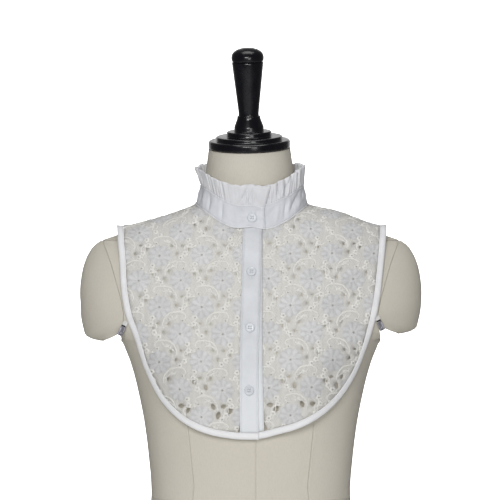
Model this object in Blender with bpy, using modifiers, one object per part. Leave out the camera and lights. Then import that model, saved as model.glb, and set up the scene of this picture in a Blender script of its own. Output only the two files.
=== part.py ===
"""A white lace false collar buttoned round a canvas dress form, as solids at real size.

Metres, +Z up, the wearer's front towards -Y and the wearer's left towards +X. The origin is the
middle of the form's base, on the table. Sizes below are in millimetres and become metres in the mesh.
"""

import math

import bmesh
import bpy
import numpy as np
from mathutils import Matrix, Vector
from mathutils.geometry import delaunay_2d_cdt

MM = 0.001
SEAM_GAP = 0.3

# The form's horizontal sections, bottom to top. Each is a rounded box whose corner power is "power".
# height, half width, front, back, power
FORM_ROWS = (
    (12.3, 162.0, -110.0, 112.0, 2.2),
    (45.0, 166.0, -112.0, 115.0, 2.2),
    (90.0, 163.0, -112.0, 112.0, 2.2),
    (130.0, 153.0, -107.0, 103.0, 2.2),
    (165.0, 140.0, -100.0, 93.0, 2.2),
    (195.0, 128.0, -93.5, 83.0, 2.2),
    (215.0, 124.4, -91.0, 79.0, 2.2),
    (237.5, 124.6, -91.5, 77.5, 2.2),
    (262.5, 126.8, -93.5, 78.0, 2.2),
    (287.5, 129.5, -97.0, 80.0, 2.2),
    (312.5, 133.0, -101.5, 83.0, 2.2),
    (342.5, 138.8, -108.0, 88.0, 2.25),
    (372.5, 146.0, -113.5, 92.0, 2.3),
    (387.5, 150.6, -114.0, 94.0, 2.4),
    (400.0, 155.6, -113.5, 95.5, 2.5),
    (412.5, 161.8, -112.5, 97.0, 2.6),
    (430.0, 188.0, -111.0, 98.5, 2.2),
    (446.0, 209.5, -109.0, 99.0, 2.0),
    (462.5, 213.0, -105.5, 99.0, 1.9),
    (487.5, 212.5, -97.0, 97.0, 1.82),
    (507.5, 208.5, -88.5, 92.5, 1.77),
    (522.5, 202.0, -81.5, 88.0, 1.72),
    (532.5, 194.0, -77.0, 84.0, 1.7),
    (538.5, 184.0, -74.5, 81.5, 1.66),
    (543.0, 170.0, -72.6, 79.8, 1.62),
    (547.5, 157.0, -70.8, 77.8, 1.6),
    (558.5, 131.0, -68.6, 72.5, 1.6),
    (566.0, 109.6, -67.0, 68.5, 1.65),
    (574.0, 86.0, -65.5, 64.0, 1.75),
    (581.5, 67.0, -64.0, 58.5, 1.9),
    (589.0, 60.2, -63.0, 53.5, 2.0),
    (600.0, 57.4, -62.5, 50.0, 2.0),
    (625.0, 54.6, -61.5, 44.0, 2.0),
    (652.0, 50.9, -60.5, 40.5, 2.0),
)
# How far the cloth stands off the form: height, side, front, back
EASE_ROWS = (
    (285.0, 15.0, 9.0, 8.0),
    (310.0, 13.0, 8.0, 7.0),
    (342.5, 10.0, 5.0, 5.0),
    (372.5, 8.0, 2.6, 3.2),
    (412.5, 8.0, 2.2, 2.2),
    (446.0, 6.0, 1.7, 1.8),
    (500.0, 6.0, 1.6, 1.6),
    (522.5, 8.0, 1.6, 1.6),
    (532.5, 12.0, 1.7, 1.7),
    (538.5, 16.0, 1.8, 1.8),
    (543.0, 22.0, 1.8, 1.8),
    (547.5, 27.0, 1.8, 1.8),
    (552.5, 24.0, 1.8, 1.8),
    (558.5, 12.0, 1.8, 1.8),
    (566.0, 4.6, 1.8, 2.4),
    (574.0, 4.2, 1.8, 2.6),
    (581.5, 3.3, 2.0, 3.0),
    (589.0, 4.0, 2.5, 4.0),
    (605.0, 5.0, 3.0, 5.0),
)
BUST_HEIGHT = 372.0
BUST_SIDE = 68.0
BUST_FULLNESS = 13.0
BUST_SPREAD = (44.0, 38.0)

# Where the shoulder caps part from the torso: height, distance from the middle
ARMHOLE_ROWS = (
    (412.5, 161.8), (430.0, 157.5), (446.0, 156.0), (478.5, 164.0), (507.7, 172.8), (533.7, 183.2),
    (546.0, 188.0),
)
CAP_TOP = 536.6
CAP_BOTTOM = {"right": 412.0, "left": 421.0}
CAP_ROUNDING = 17.0
CAP_INNER_ROUNDING = 32.0
CAP_FOOT = (184.0, -6.0)

NECK_LEAN = -1.7
NECK_TILT = math.radians(9.5)
NECK_ROLL = math.radians(-1.2)
TORSO_HEIGHTS = (
    12.3, 45, 90, 130, 165, 195, 220, 250, 285, 312.5, 335, 354, 372.5, 391, 412.5, 430, 446, 465, 487.5,
    507.5, 522.5, 532.5, 536.9, 537.4, 543, 550, 558.5, 566, 574, 581.5, 590, 603, 625, 652,
)
FRONT_STEPS, SIDE_STEPS, BACK_STEPS = 8, 3, 7

# The turned neck cap and its handle: radius, height above the neck
KNOB_PROFILE = (
    (49.0, 0.0), (51.0, 2.0), (51.0, 8.2), (49.0, 10.5), (41.5, 10.8), (41.5, 14.4), (40.2, 15.4),
    (28.0, 15.6), (28.0, 20.4), (26.8, 21.6), (18.5, 22.0), (18.5, 26.0), (14.3, 37.5), (14.3, 40.0),
    (12.3, 40.6), (12.4, 45.0), (19.4, 106.4), (18.6, 107.8), (19.9, 110.0), (20.1, 114.5), (17.0, 120.5),
    (9.0, 124.8), (0.0, 126.0),
)
KNOB_SIDES = 24

BOARD_THICKNESS = 12.0
BOARD_INSET = 0.985

LATCH_SIZE = (7.5, 2.4, 18.0)
LATCH_MIDDLE = {"right": (157.5, -75.0, 428.0), "left": (160.0, -75.0, 434.5)}
LATCH_LEAN = math.radians(-24.0)
LATCH_TURN = math.radians(38.0)

# The bib
LACE_WALL = 1.0
NECK_SEAM = 0.6
LACE_LEVEL = 450.0
LACE_START = 92.0
BINDING_WIDTH = 8.5
BINDING_WALL = 1.4
BINDING_LINES = (0.0, 4.25, 8.5)
# The wearer's right binding rides over the left one by this much, from one side to the other of the ramp
OVERLAP_RIDE = 2.1
OVERLAP_RAMP = (-36.0, -12.0)
BINDING_SEAM = 0.45
EDGE_POINTS, BACK_EDGE_POINTS = 44, 36
# Outer edge of the bib from the shoulder to the bottom of the front, and of the back: side, height
RIGHT_FRONT_EDGE = (
    (167.0, 556.0), (162.6, 515.0), (158.8, 470.0), (153.6, 445.0), (143.0, 417.4), (129.6, 377.5),
    (107.2, 337.0), (84.0, 315.5), (54.0, 301.5), (24.0, 295.5), (-10.0, 294.2),
)
LEFT_FRONT_EDGE = (
    (169.5, 556.0), (163.5, 501.5), (156.3, 453.0), (140.2, 400.0), (127.6, 370.0), (105.4, 338.8),
    (81.3, 319.3), (57.1, 307.5), (33.1, 300.5), (12.0, 295.3), (0.0, 294.4),
)
BACK_EDGE = (
    (168.2, 556.0), (163.0, 505.0), (156.0, 455.0), (141.0, 410.0), (113.0, 372.0), (75.0, 350.0),
    (38.0, 341.0), (0.0, 338.5),
)
# The lace stands higher over the wearer's left shoulder, and both shoulder corners lift clear of the form
LEFT_SHOULDER_LIFT = (6.0, 112.0, 33.0)
CORNER_LIFT = (4.0, 172.0, 9.0)
LIFT_DEPTH = 45.0

# Gaps of the lace round one flower, which every second row mirrors.
# across, up, length, width, turn in degrees
FLOWER_PITCH = (51.8, 34.0)
LACE_GAPS = (
    (-17.0, 8.5, 8.6, 6.4, 60.0),
    (20.7, 2.4, 9.8, 5.8, 80.0),
    (14.6, 13.2, 8.8, 5.4, 110.0),
    (-1.5, -20.5, 8.0, 5.8, 10.0),
)
FRONT_RIGHT_FLOWER = (-60.1, -38.5)
FRONT_LEFT_FLOWER = (47.9, -36.0)
BACK_FLOWER = (0.0, -4.0)
GRID_PITCH = 17.0
# How many of a flower's four gaps are cut through in each panel, the largest ones first
GAPS_CUT = {"lace_front_right": 4, "lace_front_left": 4, "lace_back": 3}

# Front closing: the middle line of the placket at two heights, its width and its layers
PLACKET_MIDDLE = ((294.0, -1.6), (370.0, -2.1), (480.0, 0.2), (554.0, 1.9))
PLACKET_WIDTH = 23.4
PLACKET_WALL = 1.4
PLACKET_LIFT = 1.5
PLACKET_LAP = 2.0
UNDER_REACH = ((294.0, 16.6), (330.0, 15.6), (370.0, 14.6), (554.0, 14.4))
UNDER_HIDDEN = 8.0
PLACKET_HEAD = 550.2
PLACKET_ROWS, PLACKET_COLUMNS = 20, 3
FOOT_LIFT = 0.6
BUTTON_HEIGHTS = (497.5, 430.3, 355.0)
TOP_BUTTON_ANGLE, TOP_BUTTON_LEVEL = math.radians(0.2), 0.42
# The button: radius, height above its seat
BUTTON_PROFILE = ((0.0, 0.0), (5.2, 0.0), (6.0, 0.8), (5.9, 1.9), (5.2, 2.4), (4.3, 2.0), (0.0, 2.0))
BUTTON_SIDES = 12
BUTTON_GAP = 0.5

# The stand: half width, front, back, middle of each loop, and how square the loops are in front
BAND_FOOT = (68.8, -71.25, 63.0, 1.2)
BAND_HEAD = (63.6, -68.0, 56.5, 1.7)
RUFFLE_HEAD = (67.2, -70.6, 57.5, -0.9)
FRONT_POWER = 2.5
# Where the loop crosses the top of the shoulder
SHOULDER_ANGLE = math.radians(91.7)
BAND_WALL = 1.8
RUFFLE_WALL = 1.1
OVER_END, UNDER_END = math.radians(13.0), math.radians(-368.6)
RUFFLE_FLARE = math.radians(7.0)
OVERLAP_LIFT = 3.3
OVERLAP_START, OVERLAP_FADE = math.radians(-10.0), math.radians(34.0)
# Height of the band and of the ruffle at angles round the neck, from the wearer's front towards their right
BAND_RISE = (
    (-369.0, 29.5), (-345.0, 30.3), (-330.0, 30.0), (-315.0, 27.4), (-290.0, 23.8), (-270.0, 22.3),
    (-180.0, 26.5), (-90.0, 22.3), (-60.0, 24.6), (-40.0, 26.6), (-20.0, 28.4), (0.0, 27.2), (21.0, 26.0),
)
RUFFLE_RISE = (
    (-369.0, 23.0), (-345.0, 22.8), (-330.0, 22.2), (-310.0, 23.0), (-285.0, 25.5), (-260.0, 26.0),
    (-180.0, 25.5), (-110.0, 23.5), (-90.0, 22.8), (-40.0, 22.4), (-20.0, 24.3), (0.0, 24.5), (21.0, 25.5),
)
RUFFLE_WAVES = 52
RUFFLE_SWING = 2.3
COLUMNS_A_WAVE = 5
# The level of the ruffle's foot, a seam above the band's head at level 1
RUFFLE_FOOT = 1.04
BAND_COLUMNS = 66


def rows(table, heights):
    """Each column of a table at these heights, on a smooth curve through its rows."""
    data = np.array(table, float)
    at, values = data[:, 0], data[:, 1:]
    slopes = np.gradient(values, at, axis=0)
    heights = np.clip(np.asarray(heights, float), at[0], at[-1])
    low = np.clip(np.searchsorted(at, heights, side="right") - 1, 0, len(at) - 2)
    step = (at[low + 1] - at[low])[..., None]
    t = ((heights - at[low]) / (at[low + 1] - at[low]))[..., None]
    return (values[low] * (1 + 2 * t) * (1 - t) ** 2 + slopes[low] * step * t * (1 - t) ** 2
            + values[low + 1] * t**2 * (3 - 2 * t) - slopes[low + 1] * step * t**2 * (1 - t))


def smooth(t):
    """0 below 0, 1 above 1 and an easy slope between."""
    t = np.clip(t, 0.0, 1.0)
    return t * t * (3 - 2 * t)


def bust(x, z):
    """How much further forward the two sides of the bust stand, as two soft bells."""
    bells = sum(np.exp(-(((x - side) / BUST_SPREAD[0]) ** 2)) for side in (-BUST_SIDE, BUST_SIDE))
    return BUST_FULLNESS * bells * np.exp(-(((z - BUST_HEIGHT) / BUST_SPREAD[1]) ** 2))


def lean(z):
    """The neck's sideways lean at a height."""
    return NECK_LEAN * smooth((z - 585.0) / 60.0)


def neck_tilt(z):
    """The slope of a section: level on the body, tipped forward at the neck's top."""
    return math.tan(NECK_TILT) * smooth((z - 590.0) / 58.0)


def neck_roll(z):
    """The sideways slope of a section, square to the neck's lean."""
    return -math.tan(NECK_ROLL) * smooth((z - 590.0) / 58.0)


def form_rings():
    """The torso's rings, front middle first: arc to the armhole, the armhole's flat, arc to the back."""
    rings = []
    for z in TORSO_HEIGHTS:
        half, front, back, power = rows(FORM_ROWS, z)
        reach = float(rows(ARMHOLE_ROWS, z)[0])
        cut = ARMHOLE_ROWS[0][0] < z < CAP_TOP + 0.5
        corner = math.asin(min(1.0, reach / half) ** (power / 2)) if cut else math.radians(62)
        arcs = np.concatenate([
            np.linspace(0, corner, FRONT_STEPS + 1),
            np.linspace(corner, math.pi - corner, SIDE_STEPS + 1)[1:-1],
            np.linspace(math.pi - corner, math.pi, BACK_STEPS + 1),
        ])
        x = half * np.abs(np.sin(arcs)) ** (2 / power)
        deep = (back - front) / 2 * np.abs(np.cos(arcs)) ** (2 / power)
        y = (front + back) / 2 - deep * np.sign(np.cos(arcs))
        x = np.minimum(x, reach) if cut else x
        y = y - bust(x, z) * (np.cos(arcs) > 0) * smooth(np.cos(arcs) * 3)
        half_ring = np.stack([x, y], axis=1)
        ring = np.concatenate([half_ring, (half_ring * (-1, 1))[-2:0:-1]])
        tipped = z + neck_tilt(z) * (ring[:, 1] - (front + back) / 2) + neck_roll(z) * ring[:, 0]
        rings.append(np.column_stack([ring[:, 0] + lean(z), ring[:, 1], tipped]))
    return np.array(rings)


def cap_rings(side):
    """A shoulder cap's sections, bottom first: the form's outline outside the armhole, on a round foot."""
    foot = CAP_BOTTOM["left" if side > 0 else "right"]
    heights = [foot + rise for rise in (0.0, 1.6, 5.5, 11.0)]
    heights += [z for z in TORSO_HEIGHTS if heights[-1] + 4 < z < CAP_TOP - 1] + [CAP_TOP]
    armhole = [float(rows(ARMHOLE_ROWS, z)[0]) for z in TORSO_HEIGHTS]
    turns = np.linspace(-math.pi / 2, math.pi / 2, 13)
    rings = []
    for z in heights:
        half, front, back, power = rows(FORM_ROWS, max(z, 452.0))
        inner = float(np.interp(z, TORSO_HEIGHTS, armhole)) + SEAM_GAP + 0.1
        half = max(half, inner + 0.4)
        x = inner + (half - inner) * np.cos(turns)
        deep = (back - front) / 2 * np.maximum(1 - (x / half) ** power, 0) ** (1 / power)
        y = (front + back) / 2 + deep * np.sign(turns)
        rounding = np.where(x < CAP_FOOT[0], CAP_INNER_ROUNDING, CAP_ROUNDING)
        draw = np.sqrt(np.maximum(1 - np.maximum(1 - (z - foot) / rounding, 0) ** 2, 0.05))
        draw = np.where(x < CAP_FOOT[0], draw**2, draw)
        spread = math.sqrt(max(1 - max(1 - (z - foot) / CAP_ROUNDING, 0) ** 2, 0.05))
        x = CAP_FOOT[0] + (x - CAP_FOOT[0]) * draw
        y = CAP_FOOT[1] + (y - CAP_FOOT[1]) * (0.3 + 0.7 * spread)
        rings.append(np.column_stack([side * x, y, np.full_like(x, z)]))
    return np.array(rings)


def cloth_rows(z):
    """Half width, front, back and power of the cloth's section: the form's, stood off by its ease."""
    half, front, back, power = np.moveaxis(rows(FORM_ROWS, z), -1, 0)
    side_ease, front_ease, back_ease = np.moveaxis(rows(EASE_ROWS, z), -1, 0)
    return half + side_ease, front - front_ease, back + back_ease, power


def lift(x, z, ridge):
    """How far the cloth rises over the shoulders, fading below the ridge."""
    amount, middle, spread = LEFT_SHOULDER_LIFT
    corner, at, width = CORNER_LIFT
    raised = amount * np.exp(-(((x - middle) / spread) ** 2))
    raised = raised + corner * np.exp(-(((np.abs(x) - at) / width) ** 2))
    return raised * np.exp(-((ridge - z) / LIFT_DEPTH))


class Cloth:
    """One face of the cloth, front or back, as a map from side and run to a point.

    The side is x. The run is the length up the cloth in the plane of that side, counted from a level line.
    """

    def __init__(self, facing):
        self.facing = facing
        self.sides = np.arange(-186.0, 186.1, 3.0)
        self.runs = np.arange(-90.0, 330.1, 3.0)
        heights = 285.0 + 320.0 * (1 - (1 - np.linspace(0, 1, 900)) ** 2)
        half, front, back, power = cloth_rows(heights)
        self.points = np.zeros((len(self.sides), len(self.runs), 3))
        self.ridge = np.zeros(len(self.sides))
        self.lines = []
        for index, x in enumerate(self.sides):
            inside = half > abs(x)
            upper = heights > 500
            top = np.interp(-abs(x), -half[upper], heights[upper]) if abs(x) > half[-1] else heights[-1]
            z = np.append(heights[inside & (heights < top)], top)
            wide, near, far, bend = cloth_rows(z)
            deep = (far - near) / 2 * np.maximum(1 - np.minimum(abs(x) / wide, 1) ** bend, 0) ** (1 / bend)
            y = (near + far) / 2 + facing * deep
            if facing < 0:
                y = y - bust(x, np.maximum(z, BUST_HEIGHT))
            raised = z + lift(x, z, top)
            run = np.concatenate([[0], np.cumsum(np.hypot(np.diff(y), np.diff(raised)))])
            run = run - np.interp(LACE_LEVEL, raised, run) + LACE_START
            self.lines.append((run, y, raised, z))
            self.ridge[index] = run[-1]
            self.points[index, :, 0] = x
            self.points[index, :, 1] = np.interp(self.runs, run, y)
            self.points[index, :, 2] = np.interp(self.runs, run, raised)

    def run_at(self, x, z):
        """The run of the point at this side and height."""
        spots = [np.interp(z, line[2], line[0]) for line in self.lines]
        return float(np.interp(x, self.sides, spots))

    def ridge_at(self, x):
        """The run of the top of the shoulder at this side."""
        return np.interp(x, self.sides, self.ridge)

    def frame_at(self, x, run):
        """Points and outward normals at these sides and runs, read from the map between its lines."""
        x, run = np.asarray(x, float), np.asarray(run, float)
        i = np.clip(((x - self.sides[0]) / 3.0), 0, len(self.sides) - 1.001)
        j = np.clip(((run - self.runs[0]) / 3.0), 0, len(self.runs) - 1.001)
        a, b = i.astype(int), j.astype(int)
        s, t = (i - a)[..., None], (j - b)[..., None]
        grid = self.points
        low = grid[a, b] * (1 - s) + grid[a + 1, b] * s
        high = grid[a, b + 1] * (1 - s) + grid[a + 1, b + 1] * s
        across = (grid[a + 1, b] - grid[a, b]) * (1 - t) + (grid[a + 1, b + 1] - grid[a, b + 1]) * t
        along = high - low
        out = np.cross(across, along)
        out = out * self.facing * -1
        out = out / np.maximum(np.linalg.norm(out, axis=-1, keepdims=True), 1e-9)
        return low * (1 - t) + high * t, out

    def step(self, spots, vectors):
        """Sides and runs after a small step along the surface from each spot."""
        x, run = spots[:, 0], spots[:, 1]
        across = self.frame_at(x + 1.0, run)[0] - self.frame_at(x - 1.0, run)[0]
        along = self.frame_at(x, run + 1.0)[0] - self.frame_at(x, run - 1.0)[0]
        across, along = across / 2, along / 2
        e, f, g = (across**2).sum(1), (across * along).sum(1), (along**2).sum(1)
        a, b = (across * vectors).sum(1), (along * vectors).sum(1)
        area = e * g - f * f
        return spots + np.column_stack([(a * g - b * f) / area, (b * e - a * f) / area])

    def place(self, x, run, raised=0.0):
        """Points of the cloth moved out by raised."""
        point, out = self.frame_at(x, run)
        return point + out * np.broadcast_to(raised, point.shape[:-1])[..., None]


FRONT, BACK = Cloth(-1), Cloth(1)


def edge_path(table, count):
    """Points down an edge of the bib, evenly spaced on a smooth curve through its rows."""
    spots = np.array(table, float)
    along = np.concatenate([[0], np.cumsum(np.hypot(*np.diff(spots, axis=0).T))])
    fine = rows(np.column_stack([along, spots]), np.linspace(0, along[-1], 400))
    length = np.concatenate([[0], np.cumsum(np.hypot(*np.diff(fine, axis=0).T))])
    even = np.linspace(0, length[-1], count)
    return np.column_stack([np.interp(even, length, fine[:, 0]), np.interp(even, length, fine[:, 1])])


def edge_runs(cloth, path, sign):
    """An edge path as side and run on the cloth, its first point on the shoulder seam."""
    x = path[:, 0] * sign
    run = np.array([cloth.run_at(a, b) for a, b in zip(x, path[:, 1])])
    run[0] = cloth.ridge_at(x[0])
    return np.column_stack([x, np.minimum(run, cloth.ridge_at(x) - SEAM_GAP / 2)])


def inset(cloth, edge, width, sign):
    """The edge moved in over the cloth by width, square to itself on the cloth's own surface."""
    spots = edge
    for _ in range(2):
        point, out = cloth.frame_at(spots[:, 0], spots[:, 1])
        inward = np.cross(out, np.gradient(point, axis=0)) * sign * -cloth.facing
        inward /= np.linalg.norm(inward, axis=1, keepdims=True)
        spots = cloth.step(spots, inward * width / 2)
        spots[:, 1] = np.minimum(spots[:, 1], cloth.ridge_at(spots[:, 0]) - SEAM_GAP / 2)
    return spots


def round_neck(angles):
    """How far a loop reaches sideways and forwards at these angles, as shares of its half sizes.

    It is an oval behind. In front it is squarer, like the neck of the form.
    """
    power = 2.0 + (FRONT_POWER - 2.0) * smooth(np.cos(angles) * 2.5)
    size = (np.abs(np.sin(angles)) ** power + np.abs(np.cos(angles)) ** power) ** (-1 / power)
    return np.sin(angles) * size, np.cos(angles) * size


def foot_spot(angle):
    """The cloth and the side and run on it of the band's foot at an angle round the neck."""
    half, front, back, middle = BAND_FOOT
    aside, ahead = round_neck(angle)
    x = middle + half * aside
    y = (front + back) / 2 - (back - front) / 2 * ahead
    cloth = FRONT if y < np.interp(x, FRONT.sides, FRONT.points[:, -1, 1]) else BACK
    order = slice(None, None, -cloth.facing)
    runs = [np.interp(y, line[1][order], line[0][order]) for line in cloth.lines]
    return cloth, np.array([x, float(np.interp(x, cloth.sides, runs))])


def neck_angle(x):
    """The angle at which the band's foot has this side, in front."""
    angles = np.linspace(-0.8, 0.8, 81)
    return float(np.interp(x, BAND_FOOT[3] + BAND_FOOT[0] * round_neck(angles)[0], angles))


def neckline(start, end, count):
    """The lace's cut edge round the neck between two angles: downhill of the band's foot by a seam."""
    spots = []
    for angle in np.linspace(start, end, count):
        cloth, spot = foot_spot(angle)
        out = cloth.frame_at(*spot)[1]
        down = out * out[2] - np.array([0.0, 0.0, 1.0])
        down /= np.linalg.norm(down)
        reach = NECK_SEAM + (BAND_WALL / 2 + SEAM_GAP / 2) * abs(out[2])
        spot = cloth.step(spot[None], down[None] * reach)[0]
        spots.append((spot[0], min(spot[1], float(cloth.ridge_at(spot[0])) - SEAM_GAP / 2)))
    return np.array(spots)


def inside(polygon, spots):
    """Which spots lie inside a closed outline, by counting the sides that a line to the right crosses."""
    x, y = spots[:, 0:1], spots[:, 1:2]
    ax, ay = polygon[:, 0], polygon[:, 1]
    bx, by = np.roll(ax, -1), np.roll(ay, -1)
    crosses = (ay > y) != (by > y)
    at = ax + (y - ay) * (bx - ax) / np.where(by == ay, 1e-9, by - ay)
    return (np.sum(crosses & (x < at), axis=1) % 2) == 1


def edge_distance(polygon, spots):
    """Distance from each spot to the nearest side of an outline."""
    a, b = polygon, np.roll(polygon, -1, axis=0)
    side = b - a
    t = np.einsum("ijk,jk->ij", spots[:, None] - a, side) / np.maximum((side**2).sum(1), 1e-9)
    near = a + np.clip(t, 0, 1)[..., None] * side
    return np.linalg.norm(spots[:, None] - near, axis=2).min(axis=1)


def lace_gaps(outline, origin, cut):
    """The lace's gaps that fit inside an outline: pointed ovals round each flower."""
    low = np.floor((outline.min(axis=0) - origin) / FLOWER_PITCH).astype(int) - 1
    high = np.ceil((outline.max(axis=0) - origin) / FLOWER_PITCH).astype(int) + 1
    gaps = []
    for row in range(low[1], high[1] + 1):
        for column in range(low[0], high[0] + 1):
            flower = np.array(origin) + np.array(FLOWER_PITCH) * (column + 0.5 * (row % 2), row)
            mirror = -1 if row % 2 else 1
            for across, up, length, width, turn in LACE_GAPS[:cut]:
                a = math.radians(turn)
                leaf = np.array([(length / 2, 0), (0, width / 2), (-length / 2, 0), (0, -width / 2)])
                leaf = leaf @ np.array([(math.cos(a), math.sin(a)), (-math.sin(a), math.cos(a))])
                gaps.append((leaf + (across, up)) * (mirror, 1) + flower)
    middles = np.array([gap.mean(axis=0) for gap in gaps])
    fits = inside(outline, middles) & (edge_distance(outline, middles) > 6.5)
    return [gap for gap, fit in zip(gaps, fits) if fit]


def flat_lace(outline, gaps):
    """The panel laid flat: points and triangles inside the outline and outside the gaps."""
    low, high = outline.min(axis=0), outline.max(axis=0)
    across, up = np.meshgrid(np.arange(low[0], high[0], GRID_PITCH), np.arange(low[1], high[1], GRID_PITCH))
    across = across + GRID_PITCH / 2 * (np.arange(len(across)) % 2)[:, None]
    grid = np.column_stack([across.ravel(), up.ravel()])
    keep = inside(outline, grid) & (edge_distance(outline, grid) > GRID_PITCH * 0.4)
    grid = grid[keep]
    middles = np.array([gap.mean(axis=0) for gap in gaps])
    grid = grid[np.linalg.norm(grid[:, None] - middles, axis=2).min(axis=1) > 9.0]
    loops = [outline] + gaps
    spots = np.concatenate(loops + [grid])
    edges, start = [], 0
    for loop in loops:
        edges += [(start + i, start + (i + 1) % len(loop)) for i in range(len(loop))]
        start += len(loop)
    found = delaunay_2d_cdt([Vector(spot) for spot in spots], edges, [], 0, 1e-4)
    points = np.array([tuple(point) for point in found[0]])
    faces = np.array([tuple(face) for face in found[2]])
    centres = points[faces].mean(axis=1)
    keep = inside(outline, centres)
    for gap in gaps:
        near = np.linalg.norm(centres - gap.mean(axis=0), axis=1) < 7.0
        keep[near] &= ~inside(gap, centres[near])
    faces = faces[keep]
    used = np.unique(faces)
    renumber = np.zeros(len(points), int)
    renumber[used] = np.arange(len(used))
    return points[used], renumber[faces]


def new_material(name, colour, roughness, metallic=0.0):
    material = bpy.data.materials.new(name)
    material.use_nodes = True
    shader = material.node_tree.nodes["Principled BSDF"]
    shader.inputs["Base Color"].default_value = (*colour, 1.0)
    shader.inputs["Roughness"].default_value = roughness
    shader.inputs["Metallic"].default_value = metallic
    material.diffuse_color = (*colour, 1.0)
    return material


def add_mesh(name, points, faces, material, collection):
    mesh = bpy.data.meshes.new(name)
    mesh.from_pydata((np.asarray(points) * MM).tolist(), [], [list(map(int, face)) for face in faces])
    mesh.materials.append(material)
    obj = bpy.data.objects.new(name, mesh)
    collection.objects.link(obj)
    work = bmesh.new()
    work.from_mesh(mesh)
    bmesh.ops.recalc_face_normals(work, faces=work.faces)
    work.to_mesh(mesh)
    work.free()
    mesh.shade_smooth()
    return obj


def add_wall(obj, wall):
    """Gives an open sheet its thickness, half on each side."""
    solid = obj.modifiers.new("wall", "SOLIDIFY")
    solid.thickness = wall * MM
    solid.offset = 0.0
    solid.use_even_offset = True
    return obj


def grid_faces(rows_count, columns):
    i, j = np.meshgrid(np.arange(rows_count - 1), np.arange(columns - 1), indexing="ij")
    first = (i * columns + j).ravel()
    return np.column_stack([first, first + 1, first + columns + 1, first + columns])


def add_loft(name, rings, material, collection):
    """A closed solid through rings of the same count, with a flat face at each end."""
    levels, count = rings.shape[:2]
    i, j = np.meshgrid(np.arange(levels - 1), np.arange(count), indexing="ij")
    a, b = (i * count + j).ravel(), (i * count + (j + 1) % count).ravel()
    faces = np.column_stack([a, b, b + count, a + count]).tolist()
    faces += [list(range(count)), list(range((levels - 1) * count, levels * count))]
    obj = add_mesh(name, rings.reshape(-1, 3), faces, material, collection)
    obj.data.set_sharp_from_angle(angle=math.radians(40))
    return obj


def add_sheet(name, grid, wall, material, collection):
    """A cloth strip through a grid of points, given its wall."""
    obj = add_mesh(name, grid.reshape(-1, 3), grid_faces(*grid.shape[:2]), material, collection)
    return add_wall(obj, wall)


def add_turned(name, profile, sides, place, material, collection):
    """A turned piece: its profile spun round its own axis and set by a matrix."""
    mesh = bpy.data.meshes.new(name)
    line = [(radius * MM, 0.0, height * MM) for radius, height in profile]
    mesh.from_pydata(line, [(i, i + 1) for i in range(len(line) - 1)], [])
    mesh.materials.append(material)
    obj = bpy.data.objects.new(name, mesh)
    collection.objects.link(obj)
    obj.matrix_world = place
    spin = obj.modifiers.new("turn", "SCREW")
    spin.steps = spin.render_steps = sides
    spin.use_merge_vertices = True
    spin.merge_threshold = 1e-5
    spin.use_smooth_shade = True
    spin.use_normal_calculate = True
    return obj


def facing_matrix(point, out):
    """A frame at a point whose own Z runs along out."""
    turn = Vector(out).to_track_quat("Z", "Y").to_matrix().to_4x4()
    return Matrix.Translation(Vector(point) * MM) @ turn


def build_form(collection, materials):
    rings = form_rings()
    add_loft("torso", rings, materials["canvas"], collection)
    for side, name in ((-1, "right"), (1, "left")):
        add_loft(f"shoulder_cap_{name}", cap_rings(side), materials["canvas"], collection)
        build_latch(name, side, collection, materials)

    top = rings[-1].mean(axis=0)
    up = Vector((-math.tan(-NECK_ROLL), -math.tan(NECK_TILT), 1.0)).normalized()
    seat = facing_matrix(top + np.array(up) * SEAM_GAP, up)
    add_turned("neck_cap", ((0.0, 0.0),) + KNOB_PROFILE, KNOB_SIDES, seat, materials["lacquer"], collection)

    foot = rings[0] * (BOARD_INSET, BOARD_INSET, 0)
    board = add_mesh("base_board", foot, [range(len(foot))], materials["board"], collection)
    if board.data.polygons[0].normal.z > 0:
        board.data.flip_normals()
    add_wall(board, BOARD_THICKNESS)
    board.modifiers["wall"].offset = -1.0
    round_off = board.modifiers.new("edge", "BEVEL")
    round_off.width = 2.0 * MM
    round_off.segments = 2
    round_off.limit_method = "ANGLE"


def build_latch(name, side, collection, materials):
    """The catch under a shoulder cap: a slotted plate on the torso's front corner."""
    mesh = bpy.data.meshes.new(f"latch_{name}")
    work = bmesh.new()
    bmesh.ops.create_cube(work, size=1.0)
    bmesh.ops.scale(work, vec=Vector(LATCH_SIZE) * MM, verts=work.verts)
    work.to_mesh(mesh)
    work.free()
    mesh.materials.append(materials["latch"])
    obj = bpy.data.objects.new(f"latch_{name}", mesh)
    collection.objects.link(obj)
    x, y, z = LATCH_MIDDLE[name]
    turn = Matrix.Rotation(LATCH_LEAN * side, 4, "Y") @ Matrix.Rotation(LATCH_TURN * side, 4, "Z")
    obj.matrix_world = Matrix.Translation(Vector((side * x, y, z)) * MM) @ turn
    edge = obj.modifiers.new("edge", "BEVEL")
    edge.width = 0.7 * MM
    edge.segments = 1


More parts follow.
